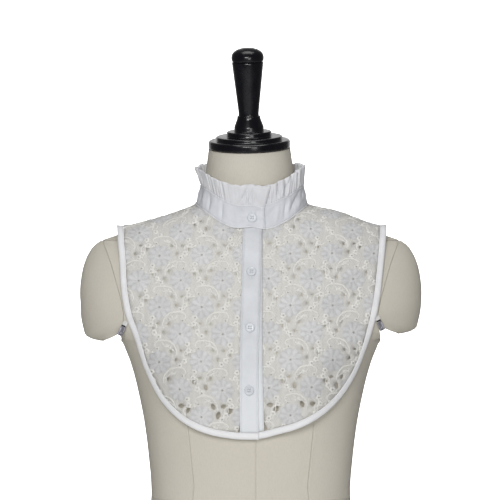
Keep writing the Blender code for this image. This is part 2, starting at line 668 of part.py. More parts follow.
def build_bib(collection, materials):
    """The lace panels and the binding round them, worked out side by side so that they meet."""
    panels = (
        ("front_right", FRONT, RIGHT_FRONT_EDGE, -1, FRONT_RIGHT_FLOWER),
        ("front_left", FRONT, LEFT_FRONT_EDGE, 1, FRONT_LEFT_FLOWER),
    )
    for name, cloth, table, side, flower in panels:
        edge = edge_runs(cloth, edge_path(table, EDGE_POINTS), side)
        loops = [inset(cloth, edge, width, -side) for width in BINDING_LINES]
        strip = [cloth.place(loop[:, 0], loop[:, 1], binding_lift(name, loop)) for loop in loops]
        add_sheet(f"binding_{name}", np.stack(strip, axis=1), BINDING_WALL, materials["cotton"], collection)
        outer = inset(cloth, edge, BINDING_WIDTH + BINDING_SEAM, -side)
        closing = closing_edge(name, outer)
        neck = neckline(neck_angle(closing[-1, 0]), side * SHOULDER_ANGLE, 12)
        closing = closing[closing[:, 1] < neck[0, 1] - 2.0]
        outer = outer[(outer[:, 0] * side) > closing[0, 0] * side + 3.0]
        shoulder = shoulder_seam(cloth, neck[-1, 0], outer[0, 0])
        outline = np.concatenate([outer, closing, neck, shoulder])
        add_lace(f"lace_{name}", cloth, outline, flower, collection, materials)

    right = edge_runs(BACK, edge_path(BACK_EDGE, BACK_EDGE_POINTS), -1)
    left = edge_runs(BACK, edge_path(BACK_EDGE, BACK_EDGE_POINTS), 1)
    whole = np.concatenate([right, left[-2::-1]])
    loops = [inset(BACK, whole, width, 1) for width in BINDING_LINES]
    strip = np.stack([BACK.place(loop[:, 0], loop[:, 1]) for loop in loops], axis=1)
    add_sheet("binding_back", strip, BINDING_WALL, materials["cotton"], collection)
    outer = inset(BACK, whole, BINDING_WIDTH + BINDING_SEAM, 1)
    neck = neckline(SHOULDER_ANGLE, 2 * math.pi - SHOULDER_ANGLE, 23)
    left_seam = shoulder_seam(BACK, outer[-1, 0], neck[0, 0])
    outline = np.concatenate([outer, left_seam, neck, shoulder_seam(BACK, neck[-1, 0], outer[0, 0])])
    add_lace("lace_back", BACK, outline, BACK_FLOWER, collection, materials)


def shoulder_seam(cloth, start, end):
    """Points along the top of the shoulder between two sides, ends left out."""
    x = np.linspace(start, end, 12)[1:-1]
    return np.column_stack([x, cloth.ridge_at(x) - SEAM_GAP / 2])


def closing_edge(name, outer):
    """The lace's straight edge at the placket, bottom to top."""
    order = np.argsort(outer[:, 0])
    foot = float(np.interp(0, outer[order, 0], outer[order, 1]))
    heights = np.linspace(PLACKET_MIDDLE[0][0], PLACKET_HEAD + 4.0, 24)
    if name == "front_right":
        x = rows(PLACKET_MIDDLE, heights)[:, 0] - PLACKET_WIDTH / 2 + PLACKET_LAP
    else:
        x = rows(UNDER_REACH, heights)[:, 0] + SEAM_GAP
    run = np.array([FRONT.run_at(a, b) for a, b in zip(x, heights)])
    keep = run > foot + 4.0
    return np.column_stack([x, run])[keep]


def binding_lift(name, loop):
    """The wearer's right binding rides over the left one where the fronts overlap."""
    if name != "front_right":
        return np.zeros(len(loop))
    return OVERLAP_RIDE * smooth((loop[:, 0] - OVERLAP_RAMP[0]) / (OVERLAP_RAMP[1] - OVERLAP_RAMP[0]))


def add_lace(name, cloth, outline, flower, collection, materials):
    flat, faces = flat_lace(outline, lace_gaps(outline, flower, GAPS_CUT[name]))
    points = cloth.place(flat[:, 0], flat[:, 1])
    obj = add_mesh(name, points, faces, materials["lace"], collection)
    add_wall(obj, LACE_WALL)


def placket_lift(z):
    """How far the top placket rides over the cloth: a little more at its foot, where the bindings cross."""
    return PLACKET_LIFT + FOOT_LIFT * (1 - smooth((z - 306.0) / 18.0))


def shifted(table, by):
    """A line down the front, as its side at each height, moved sideways."""
    return lambda z: rows(table, z)[:, 0] + by


def strip_down(left, right, foot, lifts):
    """A strip that hangs down the front between two side lines, from the head to its own foot line."""
    grid = []
    for share in np.linspace(0, 1, PLACKET_ROWS):
        level = foot[:, 1] + (PLACKET_HEAD - foot[:, 1]) * share
        a, b = left(level), right(level)
        x = a + (b - a) * np.linspace(0, 1, len(foot))
        run = np.array([FRONT.run_at(side, z) for side, z in zip(x, level)])
        grid.append(FRONT.place(x, run, lifts(level)))
    return np.array(grid)


def foot_line_of(name, table, side, start, end):
    """Side and height of a placket's foot, a seam above the inner edge of the binding under it."""
    inner = inset(FRONT, edge_runs(FRONT, edge_path(table, EDGE_POINTS), side), BINDING_WIDTH, -side)
    spots = FRONT.place(inner[:, 0], inner[:, 1], binding_lift(name, inner))
    order = np.argsort(spots[:, 0])
    x = np.linspace(start, end, PLACKET_COLUMNS)
    return np.column_stack([x, np.interp(x, spots[order, 0], spots[order, 2]) + BINDING_SEAM])


def build_closing(collection, materials):
    """The two plackets and the buttons."""
    half, middle = PLACKET_WIDTH / 2, PLACKET_MIDDLE[0][1]
    foot = foot_line_of("front_right", RIGHT_FRONT_EDGE, -1, middle - half, middle + half)
    over = strip_down(shifted(PLACKET_MIDDLE, -half), shifted(PLACKET_MIDDLE, half), foot, placket_lift)
    add_sheet("placket_top", over, PLACKET_WALL, materials["cotton"], collection)
    foot = foot_line_of("front_left", LEFT_FRONT_EDGE, 1, middle - UNDER_HIDDEN, UNDER_REACH[0][1])
    under = strip_down(shifted(PLACKET_MIDDLE, -UNDER_HIDDEN), shifted(UNDER_REACH, 0.0), foot, np.zeros_like)
    add_sheet("placket_under", under, LACE_WALL, materials["cotton"], collection)

    for number, z in enumerate(BUTTON_HEIGHTS, start=2):
        x = float(rows(PLACKET_MIDDLE, z)[0])
        point, out = FRONT.frame_at(x, FRONT.run_at(x, z))
        seat = facing_matrix(point + out * (placket_lift(z) + PLACKET_WALL / 2 + BUTTON_GAP), out)
        add_turned(f"button_{number}", BUTTON_PROFILE, BUTTON_SIDES, seat, materials["button"], collection)
    point, out = band_frame(TOP_BUTTON_ANGLE, TOP_BUTTON_LEVEL)
    seat = facing_matrix(point + out * (BAND_WALL / 2 + SEAM_GAP), out)
    add_turned("button_1", BUTTON_PROFILE, BUTTON_SIDES, seat, materials["button"], collection)


def collar_points(angles, levels, swing=0.0):
    """Points of the stand: level 0 at the band's foot, 1 at its head, 2 at the ruffle's edge.

    The three loops are ovals. A point's height is the cloth's at the foot plus the band's and the ruffle's
    rise. The over end is lifted clear of the under end, and swing moves a point in or out.
    """
    loops = zip(BAND_FOOT, BAND_HEAD, RUFFLE_HEAD)
    half, front, back, middle = (np.interp(levels, (0, 1, 2), column) for column in loops)
    aside, ahead = round_neck(angles)
    deep = (back - front) / 2
    degrees = np.degrees(angles)
    band = rows(BAND_RISE, degrees)[..., 0] * np.minimum(levels, 1)
    ruffle = rows(RUFFLE_RISE, degrees)[..., 0] * np.maximum(levels - 1, 0)
    out = np.stack([np.sin(angles) * deep, -np.cos(angles) * half], axis=-1)
    out /= np.linalg.norm(out, axis=-1, keepdims=True)
    away = OVERLAP_LIFT * (1 - smooth((OVERLAP_START - angles) / OVERLAP_FADE)) + swing
    x = middle + half * aside + out[..., 0] * away
    y = (front + back) / 2 - deep * ahead + out[..., 1] * away
    return np.stack([x, y, foot_line(angles) + band + ruffle], axis=-1)


def foot_line(angles):
    """Height of the band's foot round the neck, which is the cloth's own height there."""
    heights = []
    for angle in np.radians(np.arange(0, 360, 6.0)):
        cloth, spot = foot_spot(angle)
        heights.append(cloth.frame_at(*spot)[0][2])
    return np.interp(np.degrees(angles) % 360, np.arange(0, 361, 6.0), heights + heights[:1])


def band_frame(angle, level):
    """A point of the band and its outward normal."""
    turn = math.radians(1.0)
    spots = collar_points(angle + turn * np.array([0, -1, 1, 0]), level + np.array([0, 0, 0, 0.05]))
    out = np.cross(spots[2] - spots[1], spots[3] - spots[0])
    return spots[0], out / np.linalg.norm(out)


def build_stand(collection, materials):
    """The collar band and the gathered ruffle on it, each one strip that overlaps itself at the front."""
    levels, share = np.meshgrid((0.0, 0.5, 1.0), np.linspace(0, 1, BAND_COLUMNS), indexing="ij")
    angles = OVER_END + (UNDER_END - OVER_END) * share
    add_sheet("collar_band", collar_points(angles, levels), BAND_WALL, materials["cotton"], collection)

    columns = RUFFLE_WAVES * COLUMNS_A_WAVE + 1
    levels, share = np.meshgrid((RUFFLE_FOOT, 2.0), np.linspace(0, 1, columns), indexing="ij")
    end = OVER_END + RUFFLE_FLARE * (levels - 1)
    swing = ruffle_swing(share) * (0.25 + 0.75 * (levels - 1))
    grid = collar_points(end + (UNDER_END - end) * share, levels, swing)
    add_sheet("ruffle", grid, RUFFLE_WALL, materials["cotton"], collection)


def ruffle_swing(share):
    """In and out of the gathers along the ruffle: even waves, pushed about by slower ones.

    They are calmer at both ends, where the ruffle lies on itself.
    """
    turns = 2 * math.pi * share
    wave = np.sin(RUFFLE_WAVES * turns + 1.2 * np.sin(5 * turns + 0.6) + 0.6 * np.sin(11 * turns))
    size = 0.72 + 0.28 * np.sin(7 * turns + 1.1)
    calm = smooth((share - 0.02) / 0.12) * smooth((0.95 - share) / 0.06)
    return RUFFLE_SWING * wave * size * (0.3 + 0.7 * calm)


def main():
    for obj in list(bpy.data.objects):
        bpy.data.objects.remove(obj, do_unlink=True)
    collection = bpy.data.collections.new("false collar on dress form")
    bpy.context.scene.collection.children.link(collection)
    materials = {
        "canvas": new_material("canvas", (0.56, 0.52, 0.44), 0.9),
        "lacquer": new_material("lacquer", (0.012, 0.012, 0.014), 0.35),
        "board": new_material("board", (0.02, 0.02, 0.022), 0.5),
        "latch": new_material("latch", (0.62, 0.61, 0.63), 0.35, 0.6),
        "lace": new_material("lace", (0.74, 0.74, 0.72), 0.85),
        "cotton": new_material("cotton", (0.78, 0.79, 0.82), 0.85),
        "button": new_material("button", (0.82, 0.83, 0.86), 0.3),
    }
    build_form(collection, materials)
    build_bib(collection, materials)
    build_closing(collection, materials)
    build_stand(collection, materials)


main()
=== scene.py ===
import math

import bpy
import numpy as np
from mathutils import Matrix, Vector
from mathutils.geometry import delaunay_2d_cdt


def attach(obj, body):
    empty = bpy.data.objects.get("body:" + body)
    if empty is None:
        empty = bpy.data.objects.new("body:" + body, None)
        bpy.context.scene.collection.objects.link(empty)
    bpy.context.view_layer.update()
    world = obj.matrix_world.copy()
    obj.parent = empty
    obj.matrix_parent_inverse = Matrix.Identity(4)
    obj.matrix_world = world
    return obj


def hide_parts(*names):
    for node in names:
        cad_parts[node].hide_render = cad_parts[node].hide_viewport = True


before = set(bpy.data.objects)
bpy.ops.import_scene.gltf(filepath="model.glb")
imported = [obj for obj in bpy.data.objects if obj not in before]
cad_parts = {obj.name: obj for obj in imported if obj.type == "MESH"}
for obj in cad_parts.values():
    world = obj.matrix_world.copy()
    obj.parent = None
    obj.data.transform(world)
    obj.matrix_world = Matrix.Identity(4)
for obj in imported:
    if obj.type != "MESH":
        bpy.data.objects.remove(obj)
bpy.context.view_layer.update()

# A white lace false collar on a canvas dress form. Sizes are in millimetres and become metres in the mesh.
# Right and left are the wearer's; the front faces -y.
MM = 0.001
SEAM_GAP = 0.3
# The form's horizontal sections, bottom to top. Each is a rounded box whose corner power is "power".
# height, half width, front, back, power
FORM_ROWS = (
    (12.3, 162.0, -110.0, 112.0, 2.2),
    (45.0, 166.0, -112.0, 115.0, 2.2),
    (90.0, 163.0, -112.0, 112.0, 2.2),
    (130.0, 153.0, -107.0, 103.0, 2.2),
    (165.0, 140.0, -100.0, 93.0, 2.2),
    (195.0, 128.0, -93.5, 83.0, 2.2),
    (215.0, 124.4, -91.0, 79.0, 2.2),
    (237.5, 124.6, -91.5, 77.5, 2.2),
    (262.5, 126.8, -93.5, 78.0, 2.2),
    (287.5, 129.5, -97.0, 80.0, 2.2),
    (312.5, 133.0, -101.5, 83.0, 2.2),
    (342.5, 138.8, -108.0, 88.0, 2.25),
    (372.5, 146.0, -113.5, 92.0, 2.3),
    (387.5, 150.6, -114.0, 94.0, 2.4),
    (400.0, 155.6, -113.5, 95.5, 2.5),
    (412.5, 161.8, -112.5, 97.0, 2.6),
    (430.0, 188.0, -111.0, 98.5, 2.2),
    (446.0, 209.5, -109.0, 99.0, 2.0),
    (462.5, 213.0, -105.5, 99.0, 1.9),
    (487.5, 212.5, -97.0, 97.0, 1.82),
    (507.5, 208.5, -88.5, 92.5, 1.77),
    (522.5, 202.0, -81.5, 88.0, 1.72),
    (532.5, 194.0, -77.0, 84.0, 1.7),
    (538.5, 184.0, -74.5, 81.5, 1.66),
    (543.0, 170.0, -72.6, 79.8, 1.62),
    (547.5, 157.0, -70.8, 77.8, 1.6),
    (558.5, 131.0, -68.6, 72.5, 1.6),
    (566.0, 109.6, -67.0, 68.5, 1.65),
    (574.0, 86.0, -65.5, 64.0, 1.75),
    (581.5, 67.0, -64.0, 58.5, 1.9),
    (589.0, 60.2, -63.0, 53.5, 2.0),
    (600.0, 57.4, -62.5, 50.0, 2.0),
    (625.0, 54.6, -61.5, 44.0, 2.0),
    (652.0, 50.9, -60.5, 40.5, 2.0),
)
# How far the cloth stands off the form: height, side, front, back
EASE_ROWS = (
    (285.0, 15.0, 9.0, 8.0),
    (310.0, 13.0, 8.0, 7.0),
    (342.5, 10.0, 5.0, 5.0),
    (372.5, 8.0, 2.6, 3.2),
    (412.5, 8.0, 2.2, 2.2),
    (446.0, 6.0, 1.7, 1.8),
    (500.0, 6.0, 1.6, 1.6),
    (522.5, 8.0, 1.6, 1.6),
    (532.5, 12.0, 1.7, 1.7),
    (538.5, 16.0, 1.8, 1.8),
    (543.0, 22.0, 1.8, 1.8),
    (547.5, 27.0, 1.8, 1.8),
    (552.5, 24.0, 1.8, 1.8),
    (558.5, 12.0, 1.8, 1.8),
    (566.0, 4.6, 1.8, 2.4),
    (574.0, 4.2, 1.8, 2.6),
    (581.5, 3.3, 2.0, 3.0),
    (589.0, 4.0, 2.5, 4.0),
    (605.0, 5.0, 3.0, 5.0),
)
BUST_HEIGHT = 372.0
BUST_SIDE = 68.0
BUST_FULLNESS = 13.0
BUST_SPREAD = (44.0, 38.0)
# Where the shoulder caps part from the torso: height, distance from the middle
ARMHOLE_ROWS = (
    (412.5, 161.8), (430.0, 157.5), (446.0, 156.0), (478.5, 164.0), (507.7, 172.8), (533.7, 183.2),
    (546.0, 188.0),
)
CAP_TOP = 536.6
CAP_BOTTOM = {"right": 412.0, "left": 421.0}
CAP_FOOT = (184.0, -6.0)
CAP_ROUNDING = 10.0
CAP_INNER_ROUNDING = 15.0
# Toward its foot a cap narrows by CAP_DRAW over CAP_DRAW_RISE and shortens over CAP_SPREAD.
# Under CAP_SECTION its section is the one at that height.
CAP_DRAW, CAP_DRAW_RISE = 5.5, 34.0
CAP_SPREAD = 24.0
CAP_SECTION = 452.0
NECK_LEAN = -1.7
NECK_TILT = math.radians(9.5)
NECK_ROLL = math.radians(-1.2)
# The height where the neck begins to lean and its sections begin to tip, and over how much height they do
LEAN_START, LEAN_RISE = 585.0, 60.0
TIP_START, TIP_RISE = 590.0, 58.0
TORSO_HEIGHTS = (
    12.3, 45, 90, 130, 165, 195, 220, 250, 285, 312.5, 335, 354, 372.5, 391, 412.5, 430, 446, 465, 487.5,
    507.5, 522.5, 532.5, 536.9, 537.4, 543, 550, 558.5, 566, 574, 581.5, 590, 603, 625, 652,
)
FRONT_STEPS, SIDE_STEPS, BACK_STEPS = 40, 9, 36
SECTION_STEP = 5.0
LATCH_MIDDLE = {"right": (157.5, -75.0, 428.0), "left": (160.0, -75.0, 434.5)}
LATCH_LEAN = math.radians(-24.0)
LATCH_TURN = math.radians(38.0)
# How far the left catch sits nearer the middle than its solid
LEFT_LATCH_SHIFT = 1.6
# The turned neck cap: radius, height
KNOB_PROFILE = (
    (49.0, 0.0), (51.0, 1.6), (51.0, 8.6), (49.0, 10.5), (41.5, 10.8), (41.5, 14.4), (40.2, 15.4),
    (28.0, 15.6), (28.0, 20.4), (26.8, 21.6), (18.5, 21.8), (18.5, 27.0), (17.0, 31.0), (14.6, 37.5),
    (14.4, 40.4), (12.7, 40.9), (12.7, 45.0), (19.7, 106.8), (19.3, 108.0), (18.2, 108.6), (19.9, 109.4),
    (20.3, 112.5), (20.2, 115.5), (19.2, 118.3), (17.2, 120.9), (13.2, 123.5), (7.6, 125.3), (0.0, 126.0),
)
# The lace and the plackets are caught in under the band's foot
NECK_SEAM = -1.6
# The bib. A run counts up the cloth from LACE_START at the height LACE_LEVEL.
LACE_WALL = 1.0
NET_WALL = 0.4
LACE_LEVEL = 450.0
LACE_START = 92.0
# The lines that map the cloth: their spacing, how far aside they go, their runs, and the points of each.
# Above SHOULDER_START the cloth's section only narrows.
CLOTH_PITCH = 3.0
CLOTH_REACH = 186.0
LOWEST_RUN, HIGHEST_RUN = -90.0, 330.0
LINE_POINTS = 900
SHOULDER_START = 500
BINDING_WIDTH = 8.5
BINDING_WALL = 1.4
# The wearer's right binding rides over the left one by this much, from one side to the other of the ramp
OVERLAP_RIDE = 2.1
OVERLAP_RAMP = (-36.0, -12.0)
BINDING_SEAM = 0.45
BINDING_LINES = 9
EDGE_POINTS, BACK_EDGE_POINTS = 150, 150
# Outer edge of the bib from the shoulder to the bottom of the front, and of the back: side, height
RIGHT_FRONT_EDGE = (
    (167.0, 556.0), (162.6, 515.0), (158.8, 470.0), (153.6, 445.0), (143.0, 417.4), (129.6, 377.5),
    (107.2, 337.0), (84.0, 315.5), (54.0, 301.5), (24.0, 295.5), (-10.0, 294.2),
)
LEFT_FRONT_EDGE = (
    (169.5, 556.0), (163.5, 501.5), (156.3, 453.0), (140.2, 400.0), (127.6, 370.0), (105.4, 338.8),
    (81.3, 319.3), (57.1, 307.5), (33.1, 300.5), (12.0, 295.3), (0.0, 294.4),
)
BACK_EDGE = (
    (168.2, 556.0), (163.0, 505.0), (156.0, 455.0), (141.0, 410.0), (113.0, 372.0), (75.0, 350.0),
    (38.0, 341.0), (0.0, 338.5),
)
# The lace stands higher over the wearer's left shoulder, and both shoulder corners lift clear of the form:
# amount, side, spread. The lift fades over LIFT_DEPTH under the ridge.
LEFT_SHOULDER_LIFT = (6.0, 112.0, 33.0)
CORNER_LIFT = (4.0, 172.0, 9.0)
LIFT_DEPTH = 45.0
# Gaps of the lace round one flower, which every second row mirrors.
# across, up, length, width, turn in degrees
FLOWER_PITCH = (51.8, 34.0)
LACE_GAPS = (
    (-17.0, 8.5, 8.6, 6.4, 60.0),
    (20.7, 2.4, 9.8, 5.8, 80.0),
    (14.6, 13.2, 8.8, 5.4, 110.0),
    (-1.5, -20.5, 8.0, 5.8, 10.0),
)
FRONT_RIGHT_FLOWER = (-60.1, -38.5)
FRONT_LEFT_FLOWER = (47.9, -36.0)
BACK_FLOWER = (0.0, -4.0)
# Each front's side, edge and first flower
FRONT_PANELS = {
    "lace_front_right": (-1, RIGHT_FRONT_EDGE, FRONT_RIGHT_FLOWER),
    "lace_front_left": (1, LEFT_FRONT_EDGE, FRONT_LEFT_FLOWER),
}
# A gap is cut where its middle lies this far inside the panel's edge
GAP_MARGIN = 6.5
# On the shoulders the net is closed: from this side outward, this far under the panel's top, and its slope
CLOSED_SIDE, CLOSED_DROP, CLOSED_SLOPE = 66, 62.0, 0.5
# Above the hem the gaps are drawn in to this share. They widen from so far above it, over so much height.
DRAWN_IN, WIDEN_FROM, WIDEN_OVER = 0.45, 80.0, 45
# Points of a panel's edge round the neck, and its room at both ends of the straight edge at the placket
BACK_NECK_POINTS, FRONT_NECK_POINTS = 70, 40
HEAD_ROOM, FOOT_ROOM = 2.0, 3.0
GRID_PITCH = 5.5
# How far the net's points stay off its edge, in grid pitches, and off a gap's middle, and a gap's reach
EDGE_CLEAR, GAP_CLEAR, GAP_REACH = 0.35, 5.6, 7.0
# Width of one hole of the net with its threads, in metres
NET_CELL = 0.0015
# How many of a flower's four gaps each panel has, from the top of the list
GAPS_CUT = {"lace_front_right": 4, "lace_front_left": 4, "lace_back": 3}
# Front closing: the middle line of the placket at two heights, its width and its layers
PLACKET_MIDDLE = ((294.0, -1.6), (370.0, -2.1), (480.0, 0.2), (554.0, 1.9))
PLACKET_WIDTH = 23.4
PLACKET_WALL = 1.4
PLACKET_LIFT = 1.5
PLACKET_LAP = 2.0
UNDER_REACH = ((294.0, 16.6), (330.0, 15.6), (370.0, 14.6), (554.0, 14.4))
UNDER_HIDDEN = 8.0
PLACKET_HEAD = 553.6
PLACKET_ROWS, PLACKET_COLUMNS = 90, 13
# The placket's foot stands this much further out, up to this height, and eases back over the next
FOOT_LIFT, FOOT_LIFT_TOP, FOOT_LIFT_FADE = 0.6, 306.0, 18.0
BUTTON_HEIGHTS = (497.5, 430.3, 355.0)
TOP_BUTTON_ANGLE, TOP_BUTTON_LEVEL = math.radians(0.2), 0.42
BUTTON_GAP = 0.5
# Radii of a button's rings on its top, its radius and height round its foot, and where its holes are
BUTTON_RINGS = (
    0.02, 0.3, 0.6, 0.9, 1.15, 1.4, 1.65, 1.9, 2.15, 2.4, 2.7, 3.1, 3.5, 3.9, 4.3, 4.7, 5.1, 5.5, 5.8, 5.98,
)
BUTTON_FOOT = ((6.0, 1.3), (5.95, 0.8), (5.6, 0.2), (5.2, 0.0), (3.0, 0.0), (0.05, 0.0))
BUTTON_COLUMNS = 64
HOLE_SPOTS = (-1.25, 1.25)
THREAD_RADIUS = 0.34
# Half width and half length of a buttonhole, and the radius of the cord round it
BUTTONHOLE = (0.85, 7.6)
BUTTONHOLE_CORD = 0.42
# The stand: half width, front, back, middle of each loop, and how square the loops are in front.
# NECK_AXIS is a point inside all of them.
BAND_FOOT = (68.8, -71.25, 63.0, 1.2)
BAND_HEAD = (63.6, -68.0, 56.5, 1.7)
RUFFLE_HEAD = (67.2, -70.6, 57.5, -0.9)
FRONT_POWER = 2.5
NECK_AXIS = (0, -4, 0)
# Where the loop crosses the top of the shoulder
SHOULDER_ANGLE = math.radians(91.7)
BAND_WALL = 1.8
RUFFLE_WALL = 1.1
OVER_END, UNDER_END = math.radians(13.0), math.radians(-368.6)
RUFFLE_FLARE = math.radians(7.0)
OVERLAP_LIFT = 3.3
OVERLAP_START, OVERLAP_FADE = math.radians(-10.0), math.radians(34.0)
# Height of the band and of the ruffle at angles round the neck: 0 in front, falling to the wearer's right
BAND_RISE = (
    (-369.0, 29.5), (-345.0, 30.3), (-330.0, 30.0), (-315.0, 27.4), (-290.0, 23.8), (-270.0, 22.3),
    (-180.0, 26.5), (-90.0, 22.3), (-60.0, 24.6), (-40.0, 26.6), (-20.0, 28.4), (0.0, 27.2), (21.0, 26.0),
)
RUFFLE_RISE = (
    (-369.0, 23.0), (-345.0, 22.8), (-330.0, 22.2), (-310.0, 23.0), (-285.0, 25.5), (-260.0, 26.0),
    (-180.0, 25.5), (-110.0, 23.5), (-90.0, 22.8), (-40.0, 22.4), (-20.0, 24.3), (0.0, 24.5), (21.0, 25.5),
)
RUFFLE_WAVES = 52
RUFFLE_SWING = 2.3
RUFFLE_FOOT = 0.95
# Points of the band and of the ruffle up and along, the ruffle's along one wave
BAND_LEVELS, BAND_COLUMNS = 15, 560
RUFFLE_LEVELS, COLUMNS_A_WAVE = 17, 24
# Mean radius and heights, which turn the creases' angles and levels into lengths
CREASE_RADIUS, BAND_REACH, RUFFLE_REACH = 67.0, 27.0, 23.0
# Factors on the creases' depths, and on the widths of the band's
BAND_DEPTH, BAND_WIDEN, RUFFLE_DEPTH = 1.8, 1.3, 1.35
# How far the lapped end of the ruffle lifts, and how much higher its back half stands
END_LIFT, BACK_RAISE = 1.4, 4.2
# The welted seams: level, distance out in walls of the band, radius
WELTS = ((0.02, 0.88, 0.70), (0.985, 0.82, 0.58))
WELT_END = math.radians(-352)

# Creases of the band: angle round the neck, level, slope in degrees, half length, half
# width, depth. A positive depth is a ridge.
BAND_CREASES = (
    (-84, 0.40, 84, 15, 3.2, -1.3), (-76, 0.55, 96, 13, 2.6, 1.0), (-66, 0.35, 80, 12, 2.4, -1.1),
    (-57, 0.50, 100, 11, 2.6, 0.7), (-48, 0.55, 100, 12, 2.0, -1.0), (-43, 0.40, 78, 13, 1.8, 0.8),
    (-37, 0.72, 55, 8, 1.8, 0.6), (-31, 0.42, 92, 13, 1.4, -1.0), (-26, 0.50, 90, 9, 2.2, 0.4),
    (-12, 0.74, -38, 9, 1.5, -0.9), (-9, 0.56, -14, 9, 1.4, 0.7), (-6, 0.86, -55, 6, 1.2, 0.5),
    (6, 0.78, 38, 7, 1.2, -0.6), (8, 0.45, 10, 6, 1.3, 0.4), (-341, 0.62, 35, 9, 1.6, -0.7),
    (-334, 0.40, 70, 9, 1.8, 0.6), (-325, 0.45, 74, 10, 1.6, -1.0), (-320, 0.52, 80, 9, 1.7, 0.8),
    (-310, 0.62, 33, 13, 2.2, -1.5), (-305, 0.36, 24, 12, 2.4, 1.0), (-296, 0.66, 42, 10, 2.0, -1.0),
    (-283, 0.45, 60, 12, 3.0, 0.8), (-262, 0.50, 98, 12, 3.0, -0.9), (-244, 0.55, 75, 11, 2.8, 0.7),
    (-226, 0.40, 100, 12, 2.6, -0.8), (-206, 0.55, 82, 12, 3.0, 0.6), (-188, 0.45, 95, 11, 2.6, -0.7),
    (-168, 0.50, 80, 12, 3.0, 0.6), (-150, 0.40, 104, 11, 2.6, -0.8), (-128, 0.55, 78, 12, 2.8, 0.7),
    (-106, 0.45, 96, 13, 3.0, -0.9),
)
# Folds of the ruffle, in the same columns; the level runs from 1 at the seam to 2 at the edge
RUFFLE_CREASES = (
    (-72, 1.55, 80, 10, 2.2, 1.2), (-62, 1.40, 97, 11, 1.8, -1.3), (-55, 1.60, 70, 9, 2.0, 0.9),
    (-46, 1.30, 88, 8, 1.6, -1.0), (-36, 1.65, 84, 8, 1.6, 0.7), (-30, 1.50, 88, 13, 1.3, -1.5),
    (-27, 1.50, 90, 12, 1.4, 0.8), (-12, 1.35, 62, 8, 1.6, 0.7), (-6, 1.60, 60, 10, 1.3, -1.5),
    (-2, 1.50, 64, 10, 1.6, 1.0), (4, 1.35, 80, 9, 1.5, -0.6), (-343, 1.50, 82, 12, 1.8, -1.3),
    (-338, 1.50, 84, 12, 1.6, 1.2), (-331, 1.50, 74, 13, 2.0, -2.0), (-326, 1.45, 76, 12, 1.6, 1.3),
    (-320, 1.50, 70, 13, 1.9, -2.2), (-314, 1.55, 78, 12, 1.5, 1.2), (-306, 1.50, 84, 13, 1.7, -1.9),
    (-300, 1.50, 88, 12, 1.5, 1.2), (-294, 1.55, 90, 12, 1.6, -1.4),
)
# The embroidered motif round one flower, which every second row mirrors
FLOWER_RADIUS, PETALS = 15.0, 9
ARCH = (
    (-3.4, 17.0), (-5.6, 18.4), (-7.0, 21.2), (-4.8, 24.6), (4.1, 26.6), (13.2, 24.4), (18.8, 17.8),
    (20.6, 10.2), (19.2, 7.4),
)
STEMS = (
    ((25.3, -3.1), (27.4, -0.4), (30.5, 1.7), (33.6, 5.6), (33.4, 10.4)),
    ((-8.6, -12.8), (-8.8, -16.6), (-10.3, -20.4), (-13.4, -22.6), (-16.4, -21.4)),
    ((21.5, -9.5), (18.6, -13.8), (13.0, -15.4), (8.6, -18.8)),
    ((-19.0, 3.6), (-22.2, 8.0), (-21.0, 12.6), (-17.4, 14.8)),
)
# across, up, radius
BLOSSOMS = (
    (30.5, 1.9, 3.7), (25.3, -3.3, 3.5), (-8.6, -12.6, 3.6), (-10.5, -20.0, 3.6), (-3.2, 16.2, 2.4),
)
DOTS = (
    (9.5, 20.3, 1.3), (12.6, 18.6, 1.1), (6.4, 19.0, 1.1), (33.4, 11.0, 1.3), (-17.0, -21.2, 1.3),
    (8.2, -19.4, 1.2), (-16.8, 15.4, 1.3), (15.4, -12.6, 1.1), (-21.4, -1.6, 1.2),
)
NET_GAP = 0.25
THREAD_PITCH = 0.55
# How far the embroidery stands over the net
CORD_HEIGHT, PETAL_HEIGHT = 0.55, 0.38
# Painted light makes cloth paler toward the hem; none is painted paler than this there
HEM_PAINTED_LIGHT_MOST = 0.85
# The studio, in metres: name, place, size, watts, aim
LAMPS = (
    ("key", (-0.42, -3.3, 1.05), (1.1, 0.9), 57.0, (0.0, 0.0, 0.42)),
    ("fill", (0.8, -3.3, 0.30), (0.9, 1.2), 17.5, (0.0, 0.0, 0.42)),
    ("top", (0.0, -0.3, 2.6), (1.6, 1.2), 18.0, (0.0, 0.0, 0.5)),
)
CAMERA_DISTANCE, CAMERA_HEIGHT, PICTURE_WIDTH = 4.2, 0.525, 0.625
SENSOR = 36.0
FLOOR_RADIUS, FLOOR_CORNERS, FLOOR_DROP = 1500, 96, -0.5


def rows(table, heights):
    """Each column of a table at these heights, on a smooth curve through its rows."""
    data = np.array(table, float)
    at, values = data[:, 0], data[:, 1:]
    slopes = np.gradient(values, at, axis=0)
    heights = np.clip(np.asarray(heights, float), at[0], at[-1])
    low = np.clip(np.searchsorted(at, heights, side="right") - 1, 0, len(at) - 2)
    step = (at[low + 1] - at[low])[..., None]
    t = ((heights - at[low]) / (at[low + 1] - at[low]))[..., None]
    return (values[low] * (1 + 2 * t) * (1 - t) ** 2 + slopes[low] * step * t * (1 - t) ** 2
            + values[low + 1] * t**2 * (3 - 2 * t) - slopes[low + 1] * step * t**2 * (1 - t))


def smooth(t):
    """0 below 0, 1 above 1 and an easy slope between."""
    t = np.clip(t, 0.0, 1.0)
    return t * t * (3 - 2 * t)


def bust(x, z):
    """How much further forward the two sides of the bust stand, as two soft bells."""
    bells = sum(np.exp(-(((x - side) / BUST_SPREAD[0]) ** 2)) for side in (-BUST_SIDE, BUST_SIDE))
    return BUST_FULLNESS * bells * np.exp(-(((z - BUST_HEIGHT) / BUST_SPREAD[1]) ** 2))


def lean(z):
    """The neck's sideways lean at a height."""
    return NECK_LEAN * smooth((z - LEAN_START) / LEAN_RISE)


